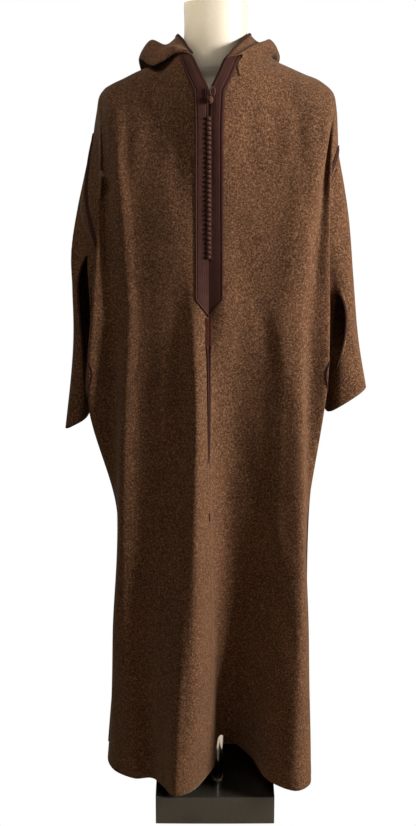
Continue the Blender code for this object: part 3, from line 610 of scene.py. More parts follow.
def fold_line(side, face, row):
    """One fold from the hem to the shoulder: a curve through its five places, then the swing."""
    name, across, *places, hem = row
    flat = through(LEVELS, np.array(places, float) * MM, HEIGHTS)
    lift = np.clip((HEM_LIFT_TO - HEIGHTS) / (HEM_LIFT_TO - HEM_Z), 0, 1) ** 1.5
    lower = np.column_stack([flat, HEIGHTS + (hem * MM - HEM_Z) * lift])
    if name == "centre":
        edge = FRONT_EDGE if face == "front" else BACK_EDGE
        upper = edge_rows(lower[-1], UPPER_KNOTS, edge + NECK_EDGE[side, face])
    elif name == "crest" and face == "front":
        upper = edge_rows(lower[-1], UPPER_KNOTS, BAND_EDGE[side])
    elif name == "seam":
        edge = np.array(ARMHOLE[side, face], float) * MM
        upper = through(np.linspace(0, 1, len(edge)), edge, STEPS)
    else:
        upper = swing(side, face, name, across, lower[-1])
    return np.vstack([lower, upper])


def fold_table(side, face):
    """The table of a quarter; the left back is the right back mirrored and a little narrower."""
    if face == "front":
        return FRONT_RIGHT if side == "right" else FRONT_LEFT
    if side == "right":
        return BACK
    mirrored = [(name, across, *[(-x * s, y) for (x, y), s in zip(places, BACK_LEFT_NARROWS)], hem)
                for name, across, *places, hem in BACK[:-1]]
    return (*mirrored, FRONT_LEFT[-1])


def quarter(side, face):
    """The grid of a quarter: every row is a smooth curve across the fold lines."""
    table = fold_table(side, face)
    folds = np.array([fold_line(side, face, row) for row in table])
    grid = np.transpose(through([row[1] for row in table], folds, ACROSS), (1, 0, 2))
    middle, reach = sum(POCKET) / 2, (POCKET[1] - POCKET[0]) / 2
    parted = np.clip(1 - ((grid[:, :, 2] - middle) / reach) ** 2, 0, 1)
    near = np.clip(1 - (ACROSS[-1] - ACROSS) / 24.0, 0, 1)[None] ** 2
    outwards = -1 if side == "right" else 1
    pull = (outwards * 0.006, 0.014, 0.0) if face == "back" else (-outwards * 0.002, -0.002, 0.0)
    return grid + (parted * near)[..., None] * np.array(pull)


QUARTERS = {(side, face): quarter(side, face)
            for side in ("right", "left") for face in ("front", "back")}
print("rows and columns of a quarter", QUARTERS["right", "front"].shape[:2])

# %% [markdown]
# ## Small creases
#
# Heavy wool falls in large soft folds and takes few small ones. The ones there are were placed one
# by one: drag lines below the neck and the shoulders, shallow breaks over the chest and above the
# knee, and similar ones on the back. Each runs between two places as seen from the front, x and z,
# and has a width and a depth in millimetres; a negative depth is a ridge. A hollow has a faint
# ridge on each side of it, as pressed cloth has. Under them lies a very slow, seeded unevenness.

# %% Crease table and the function that presses it in
CREASES = (
    # face, from x, z, to x, z, width, depth
    ("front", (30, 1262), (52, 1180), 9, 2.6),
    ("front", (44, 1250), (74, 1196), 8, 1.8),
    ("front", (58, 1490), (70, 1330), 16, 2.4),
    ("front", (104, 1500), (112, 1360), 18, 2.0),
    ("front", (150, 1480), (166, 1330), 15, 2.6),
    ("front", (-62, 1490), (-74, 1320), 16, 2.2),
    ("front", (-118, 1490), (-126, 1340), 20, 2.0),
    ("front", (-160, 1470), (-176, 1320), 15, 2.4),
    ("front", (-196, 1450), (-206, 1300), 12, 2.6),
    ("front", (196, 1440), (204, 1300), 12, 2.2),
    ("front", (70, 1120), (110, 980), 22, 2.4),
    ("front", (120, 1060), (146, 900), 20, -2.2),
    ("front", (-70, 1100), (-92, 940), 22, 2.0),
    ("front", (-120, 1000), (-140, 860), 18, 2.0),
    ("front", (-60, 860), (-44, 700), 20, -2.0),
    ("front", (60, 800), (84, 640), 20, 2.0),
    ("front", (110, 700), (140, 560), 18, -1.8),
    ("front", (-96, 640), (-84, 470), 20, 2.4),
    ("front", (-160, 560), (-172, 420), 15, 2.0),
    ("front", (150, 480), (158, 300), 18, 2.2),
    ("front", (-120, 330), (-132, 190), 18, -2.2),
    ("front", (-56, 330), (-66, 180), 14, 2.0),
    ("front", (182, 1290), (196, 1120), 13, 2.4),
    ("front", (-200, 1250), (-214, 1080), 13, 2.4),
    ("back", (-60, 1460), (-84, 1300), 20, 2.6),
    ("back", (64, 1450), (90, 1290), 20, 2.4),
    ("back", (-140, 1440), (-168, 1280), 18, 2.4),
    ("back", (146, 1430), (166, 1270), 18, 2.6),
    ("back", (-30, 1160), (-44, 980), 22, -2.2),
    ("back", (40, 1120), (60, 930), 22, 2.2),
    ("back", (-110, 900), (-96, 730), 20, 2.2),
    ("back", (110, 860), (100, 700), 20, -2.0),
    ("back", (-150, 600), (-166, 430), 18, 2.0),
    ("back", (120, 540), (134, 380), 18, 2.2),
)
WAVES = 16
WAVE_SEED = 11


def unevenness(points, size):
    """Sum of slow sine waves with seeded directions, longer up and down than across."""
    random = np.random.default_rng(WAVE_SEED)
    lengths_across = random.uniform(0.07, 0.24, WAVES)
    directions = random.normal(size=(WAVES, 3)) * (1.0, 1.0, 0.30)
    directions /= np.linalg.norm(directions, axis=1, keepdims=True)
    turns = directions * (2 * math.pi / lengths_across)[:, None]
    phases = random.uniform(0, 2 * math.pi, WAVES)
    waves = np.sin(np.tensordot(points, turns.T, axes=1) + phases)
    return size * (waves * lengths_across / 0.16).sum(axis=-1) / math.sqrt(WAVES)


def pressed(points, normals, creases, quiet=1.0):
    """Move points along their normals by each crease's trough, tapered towards its two ends.

    With d the distance from the crease over its width, the trough is (1 - d squared / 2) times
    exp(-d squared).
    """
    moved = unevenness(points, 0.0011) * quiet
    flat = points[..., (0, 2)]
    for face, start, end, width, depth in creases:
        start, end = np.array(start) * MM, np.array(end) * MM
        line = end - start
        place = np.clip(((flat - start) @ line) / (line @ line), 0, 1)
        d = np.linalg.norm(flat - start - place[..., None] * line, axis=-1) / (width * MM)
        taper = np.sin(np.pi * np.clip(0.06 + 0.88 * place, 0, 1)) ** 0.7
        seen = np.clip(normals[..., 1] * (-1.6 if face == "front" else 1.6), 0, 1)
        moved = moved - depth * MM * (1 - d ** 2 / 2) * np.exp(-d ** 2) * taper * seen * quiet
    return points + normals * moved[..., None]


def calm(side, face):
    """Where small creases are held back: under the bands, at seams, edges and the shoulder line."""
    rows = len(HEIGHTS) + len(STEPS)
    across = np.clip((ACROSS - 24) / 22, 0, 1) if face == "front" else np.clip(ACROSS / 20, 0, 1)
    side_seam = np.clip((ACROSS[-1] - ACROSS) / 26, 0, 1)
    along = np.clip((rows - 1 - np.arange(rows)) / 8, 0, 1)
    return along[:, None] * (across * side_seam)[None]


for (side, face), grid in QUARTERS.items():
    out = facing(grid, turned=(side == "left") != (face == "back"))
    QUARTERS[side, face] = pressed(grid, out, CREASES, calm(side, face))
print("creases", len(CREASES))

# %% [markdown]
# ## The two halves of the body
#
# Front and back grids are joined at the shoulder into one grid, because they are one length of
# cloth. The side seam is then welded up to the armhole, except at the pocket slit. The wall is
# 2 mm of wool.

# %% Body halves
WALL = 0.0020
HALF = {}


def cloth_map(grid):
    """The piece's own map in metres: mean steps summed across, and the middle column's length."""
    steps = np.linalg.norm(np.diff(grid, axis=1, prepend=grid[:, :1]), axis=-1).mean(axis=0)
    u = np.broadcast_to(np.cumsum(steps)[None], grid.shape[:2])
    v = np.broadcast_to(lengths(grid[:, grid.shape[1] // 2])[:, None], grid.shape[:2])
    return np.stack([u, v], axis=-1)


def flat_area(grid):
    """The sum of the areas of a grid's quads, each half the cross product of its diagonals."""
    one, two = grid[1:, 1:] - grid[:-1, :-1], grid[1:, :-1] - grid[:-1, 1:]
    return float(np.linalg.norm(np.cross(one, two), axis=-1).sum() / 2)


for side in ("right", "left"):
    front, back = QUARTERS[side, "front"], QUARTERS[side, "back"]
    whole = np.concatenate([front, back[-2::-1]])
    HALF[side] = whole
    piece = put_grid(f"body_half_{side}", whole, WOOL, cloth_map(whole), flip=side == "right")
    walled(welded(piece), WALL)
    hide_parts(f"body_{side}")
    area = flat_area(whole)



def on_cloth(side, face, rows, columns):
    """Places and outward directions on a body quarter, at fractional rows and columns."""
    grid = QUARTERS[side, face]
    out = facing(grid, turned=(side == "left") != (face == "back"))
    rows, columns = np.broadcast_arrays(np.asarray(rows, float), np.asarray(columns, float))
    return read_at(grid, rows, columns), read_at(out, rows, columns)

# %% [markdown]
# ## Sleeves
#
# Each sleeve is a straight tube of cloth. Its first ring is the armhole itself, so it meets the
# body point by point, and it turns into an oval by two thirds of the way down. Near the armpit the
# front of each sleeve is open in a slit. The grid is cut along one column there, and the two edges
# are pulled apart into an eye shape, most at its middle.

# %% Sleeve tables and grid
# How far along, the outer line, the under line, and half the width front to back.
SLEEVE = {
    "right": ((0.00, (-241, 0, 1398), (-224, -50, 1070), 60),
              (0.25, (-269, 4, 1262), (-240, -30, 1044), 60),
              (0.50, (-282, 10, 1130), (-246, 2, 1000), 64),
              (0.75, (-286, 12, 985), (-250, 20, 930), 72),
              (1.00, (-303, 12, 828), (-258, 18, 850), 82)),
    "left": ((0.00, (242, 0, 1374), (205, -46, 1070), 60),
             (0.25, (264, 4, 1250), (230, -30, 1046), 62),
             (0.50, (276, 6, 1135), (230, -6, 1010), 70),
             (0.75, (288, 6, 1010), (228, 2, 935), 78),
             (1.00, (303, 6, 914), (224, 8, 862), 84)),
}
# Where round the sleeve the slit is (0 under the arm, 1 on top), where along it starts and ends,
# and how far its outer and inner edges are pulled, in metres.
SLIT = {"right": (0.42, 0.08, 0.78, 0.016, 0.026), "left": (0.33, 0.36, 0.72, 0.042, 0.028)}
SLIT_SPREAD = 0.16               # how far round the sleeve the pull is felt
SLEEVE_CREASES = (
    ("front", (-262, 1200), (-286, 1120), 10, 2.4),
    ("front", (-270, 1060), (-284, 900), 13, 2.6),
    ("front", (-262, 980), (-270, 850), 12, -2.4),
    ("front", (262, 1290), (252, 1160), 13, 2.4),
    ("front", (276, 1200), (282, 1060), 12, -2.0),
    ("front", (262, 1010), (284, 930), 14, 2.4),
    ("back", (-262, 1240), (-276, 1060), 16, 3.0),
    ("back", (-280, 1040), (-286, 880), 14, -2.6),
    ("back", (262, 1240), (272, 1080), 16, 3.0),
    ("back", (276, 1060), (284, 930), 15, -2.4),
)
SLEEVE_ROWS = 91


def sleeve_grid(side, loop):
    """Rings from the armhole loop to the cuff; column 0 is the underarm line.

    A ring blends the under line into the outer line by half of one minus cosine of the turn, and
    bulges forwards and backwards by the half width times the sine of the turn.
    """
    shares, outer, under, half = zip(*SLEEVE[side])
    steps = np.linspace(0, 1, SLEEVE_ROWS)
    outer = through(shares, np.array(outer, float) * MM, steps)
    under = through(shares, np.array(under, float) * MM, steps)
    half = through(shares, np.array(half, float)[:, None] * MM, steps)
    turn = math.pi * np.concatenate([[0.0], STEPS, 2 - STEPS[-2::-1]])
    cosine, sine = np.cos(turn), np.sin(turn)
    reach = (0.5 - 0.5 * np.sign(cosine) * np.abs(cosine) ** 0.8)[None, :, None]
    ring = under[:, None] * (1 - reach) + outer[:, None] * reach
    ring[:, :, 1] -= half * np.sign(sine) * np.abs(sine) ** (0.7 - 0.35 * steps[:, None])
    keep = np.clip(1 - steps / 0.7, 0, 1)[:, None, None]
    return ring + (loop - ring[0])[None] * keep ** 2 * (3 - 2 * keep), steps, turn / math.pi


def opened(grid, steps, turns, slit):
    """Cut the tube at the slit's column and pull its edges apart, into an eye shape."""
    where, start, end, outwards, inwards = slit
    column = int(np.argmin(np.abs(turns - where)))
    eye = np.clip((steps - start) / (end - start), 0, 1)
    eye = np.sin(math.pi * eye) * (eye < 1)
    side = np.gradient(grid, axis=1)
    side /= np.linalg.norm(side, axis=-1, keepdims=True)
    near = np.exp(-((turns - turns[column]) / SLIT_SPREAD) ** 2)
    pull_out = (eye[:, None] * near)[..., None] * side * outwards
    pull_in = (eye[:, None] * near)[..., None] * side * inwards
    inner = (grid - pull_in)[:, :column + 1]
    outer = (grid + pull_out)[:, column:]
    outer = np.concatenate([outer, grid[:, :1]], axis=1)
    return inner, outer


SLEEVES = {}
for side in ("right", "left"):
    front = QUARTERS[side, "front"][UNDERARM:, -1]
    back = QUARTERS[side, "back"][UNDERARM:, -1]
    tube, steps, turns = sleeve_grid(side, np.concatenate([front, back[-2:0:-1]]))
    out = facing(tube, turned=side == "left")
    quiet = np.clip(steps / 0.12, 0, 1)[:, None] * np.ones(len(turns))
    tube = pressed(tube, -out, SLEEVE_CREASES, quiet)
    inner, outer = opened(tube, steps, turns, SLIT[side])
    SLEEVES[side] = inner, outer, steps
    both = np.concatenate([inner.reshape(-1, 3), outer.reshape(-1, 3)])
    faces = [grid_faces(*inner.shape[:2], flip=side == "left"),
             grid_faces(*outer.shape[:2], flip=side == "left") + inner.shape[0] * inner.shape[1]]
    uv = np.concatenate([cloth_map(inner).reshape(-1, 2),
                         cloth_map(outer).reshape(-1, 2) + (0.2, 0.0)])
    piece = put_mesh(f"sleeve_tube_{side}", both, np.concatenate(faces), WOOL, uv)
    walled(welded(piece), WALL)
    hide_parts(f"sleeve_{side}")
    area = flat_area(inner) + flat_area(outer)

# %% [markdown]
# ## Hood
#
# The hood is sewn to the neckline and lies down over the shoulders and the back. From the seam the
# cloth goes out to a fold, comes back on top of itself and ends at the mouth, which is bound with
# cord. For some places round the neckline a table says where the inner layer, the fold, the outer
# layer and the mouth lie. Curves in both directions make the surface.

# %% Hood
# How far round (0 at the front edge, 1 at the centre back), then where the cloth passes: inner
# layer, fold, outer layer, dip and mouth.
HOOD = {
    "right": (
        (0.00, (-47, -93, 1555), (-53, -94, 1558), (-53, -94, 1561), (-49, -94, 1561), (-44, -94, 1557)),
        (0.10, (-72, -88, 1559), (-77, -87, 1562), (-74, -84, 1567), (-66, -81, 1568), (-53, -73, 1569)),
        (0.22, (-86, -70, 1553), (-94, -74, 1547), (-92, -66, 1565), (-78, -54, 1574), (-61, -50, 1582)),
        (0.35, (-100, -34, 1546), (-121, -44, 1536), (-113, -34, 1567), (-89, -18, 1577), (-71, -20, 1594)),
        (0.48, (-106, 10, 1554), (-146, 6, 1552), (-125, 10, 1587), (-93, 12, 1579), (-74, 12, 1596)),
        (0.60, (-112, 44, 1545), (-150, 60, 1538), (-124, 56, 1584), (-96, 48, 1580), (-76, 44, 1596)),
        (0.75, (-88, 88, 1512), (-114, 130, 1448), (-98, 116, 1545), (-78, 98, 1568), (-58, 80, 1588)),
        (0.88, (-44, 122, 1470), (-54, 162, 1320), (-50, 150, 1500), (-42, 124, 1552), (-32, 98, 1580)),
        (1.00, (0, 134, 1440), (0, 168, 1268), (0, 172, 1450), (0, 136, 1540), (0, 104, 1577))),
    "left": (
        (0.00, (41, -101, 1534), (49, -90, 1554), (48, -92, 1555), (36, -95, 1553), (21, -97, 1550)),
        (0.12, (66, -74, 1545), (71, -69, 1559), (68, -66, 1568), (56, -70, 1566), (36, -77, 1568)),
        (0.25, (88, -40, 1557), (97, -38, 1566), (92, -34, 1580), (77, -37, 1578), (54, -44, 1586)),
        (0.38, (106, -4, 1558), (119, -2, 1561), (105, 0, 1587), (84, -6, 1582), (66, -14, 1598)),
        (0.50, (108, 20, 1556), (122, 28, 1556), (105, 28, 1590), (86, 20, 1585), (68, 14, 1600)),
        (0.62, (110, 46, 1548), (125, 62, 1545), (104, 58, 1586), (84, 48, 1584), (66, 42, 1598)),
        (0.75, (86, 86, 1515), (104, 130, 1452), (92, 114, 1545), (74, 98, 1568), (56, 80, 1588)),
        (0.88, (44, 122, 1470), (54, 162, 1320), (50, 150, 1500), (40, 124, 1552), (32, 98, 1580)),
        (1.00, (0, 134, 1440), (0, 168, 1268), (0, 172, 1450), (0, 136, 1540), (0, 104, 1577))),
}
# Where the hood's seam runs on the body: share round, step over the chest or back, millimetres
# across. The share 0.5 is at the shoulder line.
HOOD_SEAM = {
    "right": ((0.00, 0.765, 0), (0.10, 0.775, 25), (0.22, 0.86, 30), (0.36, 0.94, 26), (0.50, 1.0, 22)),
    "left": ((0.00, 0.705, 31), (0.12, 0.79, 46), (0.25, 0.88, 46), (0.38, 0.95, 40), (0.50, 1.0, 36)),
}
HOOD_COLUMNS, HOOD_ROWS = 111, 71


def seam_path(side):
    """The hood's seam on the body: over the front, the shoulder line, and down to the back."""
    shares, steps, across = np.array(HOOD_SEAM[side]).T
    places = np.linspace(0, 1, HOOD_COLUMNS)
    over = places[places <= 0.5]
    rows = UNDERARM + np.interp(through(shares, steps, over), np.append(0, STEPS),
                                np.arange(len(STEPS) + 1))
    front, out = on_cloth(side, "front", rows, through(shares, across, over) * COLUMNS_PER_MM)
    down = (places[places > 0.5] - 0.5) * 2
    steps = 1 - (1 - HOOD_STEP) * down
    rows = UNDERARM + np.interp(steps, np.append(0, STEPS), np.arange(len(STEPS) + 1))
    back, out_back = on_cloth(side, "back", rows, across[-1] * (1 - down) * COLUMNS_PER_MM)
    return np.concatenate([front + out * 0.0016, back + out_back * 0.0016])


def half_hood(side):
    """Half the hood: a curve from the seam through its five stations, for each place round."""
    places = np.linspace(0, 1, HOOD_COLUMNS)
    shares = [row[0] for row in HOOD[side]]
    guides = through(shares, np.array([row[1:] for row in HOOD[side]], float) * MM, places)
    columns = []
    for start, stations in zip(seam_path(side), guides):
        line = np.vstack([start, stations])
        reach = lengths(line)
        columns.append(through(reach / reach[-1], line, np.linspace(0, 1, HOOD_ROWS)))
    return np.transpose(np.array(columns), (1, 0, 2))


hood = np.concatenate([half_hood("right"), half_hood("left")[:, -2::-1]], axis=1)
out = facing(hood)
edge = np.minimum(np.arange(hood.shape[1]), np.arange(hood.shape[1])[::-1])
quiet = np.clip(np.arange(HOOD_ROWS) / 12, 0, 1)[:, None] * np.clip(edge / 10, 0, 1)[None]
hood = hood + out * (unevenness(hood * 1.7, 0.0022) * quiet)[..., None]
piece = put_grid("hood_cloth", hood, WOOL, cloth_map(hood), flip=True)
walled(welded(piece, 0.00005), WALL)
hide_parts("hood")
area = flat_area(hood)

# %% [markdown]
# ## Braid strips
#
# All the trim is one idea: a small cross-section carried along a line on the cloth. `on_cloth`
# reads the line and its outward directions from a body quarter. `carried` takes the section along
# it, and closes both ends. The section of a flat braid has a ridge for each cord in it.


# %% Strip helpers
def ridged(width, ridges, low, high, deep=0.6):
    """A closed section in millimetres: ridges along the top, a flat underside sunk in the cloth."""
    across = np.linspace(-width / 2, width / 2, 6 * ridges + 1)
    wave = np.abs(np.sin(math.pi * ridges * (across / width + 0.5))) ** 0.6
    top = np.column_stack([across, low + (high - low) * wave])
    return np.vstack([top, [(width / 2, -deep), (-width / 2, -deep)]]) * MM


def round_section(radius, sides=10, lift=0.0):
    """A closed round section in millimetres, lifted off the line."""
    turn = np.linspace(0, 2 * math.pi, sides, endpoint=False)
    return np.column_stack([np.cos(turn), -np.sin(turn)]) * (radius * MM) + (0.0, lift * MM)


def carried(line, out, section):
    """The grid of a section carried along a line, and its map, with the ends drawn to a point."""
    run = np.gradient(line, axis=0)
    sideways = np.cross(run, out)
    sideways /= np.linalg.norm(sideways, axis=1, keepdims=True)
    grid = (line[:, None] + sideways[:, None] * section[None, :, :1]
            + out[:, None] * section[None, :, 1:])
    grid = np.concatenate([grid[:1].mean(axis=1, keepdims=True).repeat(len(section), 1), grid,
                           grid[-1:].mean(axis=1, keepdims=True).repeat(len(section), 1)])
    along = lengths(line)
    along = np.concatenate([along[:1], along, along[-1:]])
    across = lengths(section)
    uv = np.stack([np.broadcast_to(across[None], grid.shape[:2]),
                   np.broadcast_to(along[:, None], grid.shape[:2])], axis=-1)
    return grid, uv


def joined(name, parts, finish, flips):
    """Several carried grids as one piece."""
    points, faces, maps, first = [], [], [], 0
    for (grid, uv), flip in zip(parts, flips):
        points.append(grid.reshape(-1, 3))
        maps.append(uv.reshape(-1, 2))
        faces.append(grid_faces(*grid.shape[:2], True, flip) + first)
        first += grid.shape[0] * grid.shape[1]
    piece = put_mesh(name, np.concatenate(points), np.concatenate(faces), finish,
                     np.concatenate(maps))
    return outwards(welded(piece, 0.00002))


def outwards(piece):
    """Turn the faces of a closed piece so that they point outwards."""
    bm = bmesh.new()
    bm.from_mesh(piece.data)
    bmesh.ops.recalc_face_normals(bm, faces=bm.faces)
    bm.to_mesh(piece.data)
    bm.free()
    return piece


def row_of(grid, column, z):
    """The fractional row at which a column of a grid is at a height."""
    return np.interp(z, grid[:, column, 2], np.arange(len(grid)))


BRAID_SECTION = ridged(5.6, 2, 1.0, 2.0)
print("strip helpers ready")

# %% [markdown]
# ## The two bands beside the neck
#
# Each band is a flat braid 26 mm wide, sewn beside the opening from the hood down to a mitred
# point. A rib runs along the outer side and turns with the mitre, with a groove inside it, then the
# rows of the braid. The distance from the outer edge gives the height of the relief, so the rib
# follows the point of the band without any extra drawing.

# %% Placket bands
BAND_WIDE = 26.0                 # millimetres
TIP_Z, CORNER_Z = 1.064, 1.099   # the point at the centre, and where the outer side starts
BAND_STATIONS = np.concatenate([[0.35], np.linspace(0.8, BAND_WIDE, 43)])
BAND_ROWS = 300
BUTTON_TOP_Z, BUTTON_LOW_Z = 1.436, 1.180


def band_relief(inside, across, z, side):
    """Height of the braid over the cloth, in millimetres, from the distance inside its edge."""
    rib = 0.9 * np.sqrt(np.clip(1 - ((inside - 1.6) / 1.6) ** 2, 0, 1))
    groove = -0.75 * np.exp(-((inside - 3.9) / 0.7) ** 2)
    second = 0.22 * np.sqrt(np.clip(1 - ((inside - 5.6) / 1.1) ** 2, 0, 1))
    rows = 0.20 * np.abs(np.sin(math.pi * (inside - 6.6) / 3.3)) * (inside > 6.6)
    height = 1.55 + rib + groove + second + rows
    buttoned = np.clip((z - BUTTON_LOW_Z + 0.008) / 0.004, 0, 1)
    if side == "right":
        bed = np.clip((6.4 - across) / 0.5, 0, 1) * buttoned
        slit = np.exp(-((across - 5.9) / 0.7) ** 2) * buttoned
        return height - 0.85 * bed - 0.9 * slit
    piping = np.sqrt(np.clip(1 - ((across - 4.9) / 1.1) ** 2, 0, 1))
    bed = np.clip((4.0 - across) / 0.5, 0, 1) * buttoned
    return height + 0.85 * piping * buttoned - 0.85 * bed


def placket_band(side):
    """A band as a closed sheet: relief on top, the underside sunk in the cloth."""
    grid = QUARTERS[side, "front"]
    low_z = TIP_Z + (CORNER_Z - TIP_Z) * BAND_STATIONS / BAND_WIDE
    columns = BAND_STATIONS * COLUMNS_PER_MM
    low_rows = np.array([row_of(grid[:HOOD_ROW], int(round(c)), z) for c, z in zip(columns, low_z)])
    share = np.linspace(0, 1, BAND_ROWS)[:, None]
    rows = low_rows[None] * (1 - share) + HOOD_ROW * share
    points, out = on_cloth(side, "front", rows, columns[None])
    z = points[:, :, 2]
    rise = (CORNER_Z - TIP_Z) / MM / BAND_WIDE
    from_mitre = ((z - TIP_Z) / MM - rise * BAND_STATIONS[None]) / math.hypot(1, rise)
    inside = np.minimum(BAND_WIDE - BAND_STATIONS[None], np.abs(from_mitre))
    height = band_relief(inside, BAND_STATIONS[None], z, side) * MM
    top = points + out * height[..., None]
    under = points - out * 0.0006
    shell = np.concatenate([top, under[:, ::-1]], axis=1)
    shell = np.concatenate([under[:1].mean(axis=1, keepdims=True).repeat(shell.shape[1], 1), shell,
                            under[-1:].mean(axis=1, keepdims=True).repeat(shell.shape[1], 1)])
    along = np.broadcast_to(lengths(points[:, 20])[:, None], inside.shape)
    uv = np.stack([inside * MM, along], axis=-1)
    uv = np.concatenate([uv, uv[:, ::-1]], axis=1)
    uv = np.concatenate([uv[:1], uv, uv[-1:]])
    return shell, uv


for side in ("right", "left"):
    piece = joined(f"neck_band_{side}", [placket_band(side)], BAND, [False])
    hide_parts(f"placket_band_{side}")
    print(piece.name, "faces", len(piece.data.polygons))

# %% [markdown]
# ## Knotted buttons and the throat knot
#
# The buttons are tied from thin silk braid, so each is a small basket of cords that pass over and
# under each other. One knot is an egg-shaped grid whose surface rises in two slanting sets of
# ridges, taking turns like a chequerboard. The same grid is put down thirty times. A thin loop from
# the other band holds each of them.

# %% Knots
BUTTONS = 30
BUTTON_HALF = (0.0046, 0.0031, 0.0037)
THROAT_HALF = (0.0060, 0.0046, 0.0072)
BUTTON_X, THROAT_X, THROAT_Z = -0.013, -0.0105, 1.474
CAD_BUTTONS = [f"button_{i + 1:02d}" for i in range(BUTTONS)]


def knot(half, strands, rings=15, sides=26):
    """An egg of crossing cords: radius 1 plus the higher of two slanting sets of ridges."""
    tilt = np.linspace(0, math.pi, rings)[:, None]
    turn = np.linspace(0, 2 * math.pi, sides, endpoint=False)[None]
    one = np.abs(np.cos(strands * turn / 2 + 2.4 * tilt))
    two = np.abs(np.cos(strands * turn / 2 - 2.4 * tilt))
    radius = 0.84 + 0.20 * np.maximum(one, two) ** 1.5 * np.sin(tilt) ** 0.5
    ball = np.stack([np.cos(tilt) * np.ones_like(turn), np.sin(tilt) * np.cos(turn),
                     np.sin(tilt) * np.sin(turn)], axis=-1) * radius[..., None]
    return ball * np.array(half)


def scattered(grid, centres):
    """The same closed grid at many centres, as one list of carried grids."""
    uv = np.stack(np.meshgrid(np.linspace(0, 0.02, grid.shape[1]),
                              np.linspace(0, 0.01, grid.shape[0])), axis=-1)
    return [(grid + centre, uv) for centre in centres]


def seam_front(z):
    """The place on the centre front seam at a height."""
    edge = QUARTERS["left", "front"][:V_ROW + 1, 0]
    return np.array([np.interp(z, edge[:, 2], edge[:, axis]) for axis in range(3)])


button_z = np.linspace(BUTTON_TOP_Z, BUTTON_LOW_Z, BUTTONS)
centres = [(BUTTON_X, seam_front(z)[1] - 0.0048, z) for z in button_z]
piece = joined("knotted_buttons", scattered(knot(BUTTON_HALF, 4), centres), LOOP,
               [False] * BUTTONS)
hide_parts(*CAD_BUTTONS)
print(piece.name, "faces", len(piece.data.polygons))

turn = np.linspace(0, math.pi, 15)
loops = []
for x, y, z in centres:
    line = np.column_stack([x + 0.0052 - 0.0062 * np.sin(turn), y + 0.0012 - 0.0022 * np.sin(turn),
                            z + 0.0040 * np.cos(turn)])
    loops.append(carried(line, np.tile((0.0, -1.0, 0.0), (len(line), 1)), round_section(0.75, 7)))
piece = joined("button_loops", loops, CORD, [False] * BUTTONS)
print(piece.name, "faces", len(piece.data.polygons))


def twisted(line, out, radius, strands, turns, sides=14):
    """A rope: a round section with a lobe for each strand, turned along the line."""
    grid, uv = carried(line, out, round_section(1.0, sides))
    middle = grid.mean(axis=1, keepdims=True)
    around = np.linspace(0, 2 * math.pi, sides, endpoint=False)[None]
    spin = np.linspace(0, 2 * math.pi * turns, grid.shape[0])[:, None]
    lobes = 0.80 + 0.24 * np.abs(np.cos(strands * (around - spin) / 2))
    return middle + (grid - middle) * (lobes * radius)[..., None], uv


throat_y = seam_front(THROAT_Z)[1] - 0.0078
knots = scattered(knot(THROAT_HALF, 5, 21, 34), [(THROAT_X, throat_y, THROAT_Z - 0.004)])
bend = np.linspace(-0.35 * math.pi, 1.35 * math.pi, 41)
line = np.column_stack([-0.0065 + 0.0046 * np.cos(bend), throat_y + 0.001 + 0.0010 * np.sin(bend),
                        THROAT_Z + 0.0115 + 0.0078 * np.sin(bend)])
knots.append(twisted(line, np.tile((0.0, -1.0, 0.0), (len(line), 1)), 1.5, 2, 9))
piece = joined("throat_knot", knots, LOOP, [False, False])
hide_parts("collar_knot")
print(piece.name, "faces", len(piece.data.polygons))

# %% [markdown]
# ## Down the centre seam
#
# Below the point of the bands comes a short ladder of crossed needlework in redder silk. It ends in
# a small fork, from which two thin cords run on down the seam and fade out above the knee. They are
# round sections on the seam line, and the ladder is two sets of slanting stitches.

# %% Needlework and seam cords
LADDER_TOP_Z, LADDER_END_Z, CORD_END_Z, BAR_Z = 1.064, 1.008, 0.775, (0.672, 0.655)


def seam_line(top, end, offset, count=60):
    """A line beside the centre seam, offset in metres towards the wearer's left."""
    z = np.linspace(top, end, count)
    rows = row_of(QUARTERS["left", "front"][:HOOD_ROW], 0, z)
    columns = np.broadcast_to(np.abs(offset), z.shape) / MM * COLUMNS_PER_MM
    left = on_cloth("left", "front", rows, columns)
    right = on_cloth("right", "front", rows, columns)
    pick = (np.broadcast_to(offset, z.shape) >= 0)[:, None]
    points = np.where(pick, left[0], right[0])
    out = np.where(pick, left[1], right[1])
    middle = left[1] + right[1]
    near = np.clip(np.abs(np.broadcast_to(offset, z.shape)) / 0.004, 0, 1)[:, None]
    out = out * near + middle / np.linalg.norm(middle, axis=1, keepdims=True) * (1 - near)
    return points, out / np.linalg.norm(out, axis=1, keepdims=True)


stitches = []
STITCHES, STITCH_SPAN, LADDER_HALF = 17, 0.0048, 0.0052
for i in range(STITCHES):
    top = LADDER_TOP_Z - 0.001 - (LADDER_TOP_Z - LADDER_END_Z - STITCH_SPAN) * i / (STITCHES - 1)
    for way in (-1, 1):
        share = np.linspace(0, 1, 13)
        line, out = seam_line(top, top - STITCH_SPAN, way * LADDER_HALF * (2 * share - 1), 13)
        arch = 0.0011 + 0.0006 * np.sin(math.pi * share) + 0.0003 * way
        stitches.append(carried(line + out * arch[:, None], out, round_section(0.62, 7)))
for offset in (-0.0054, 0.0054):
    line, out = seam_line(LADDER_TOP_Z, LADDER_END_Z, offset)
    stitches.append(carried(line + out * 0.0006, out, round_section(0.9, 8)))
ladder = joined("needlework_ladder", stitches, NEEDLE, [False] * len(stitches))
print(ladder.name, "faces", len(ladder.data.polygons))

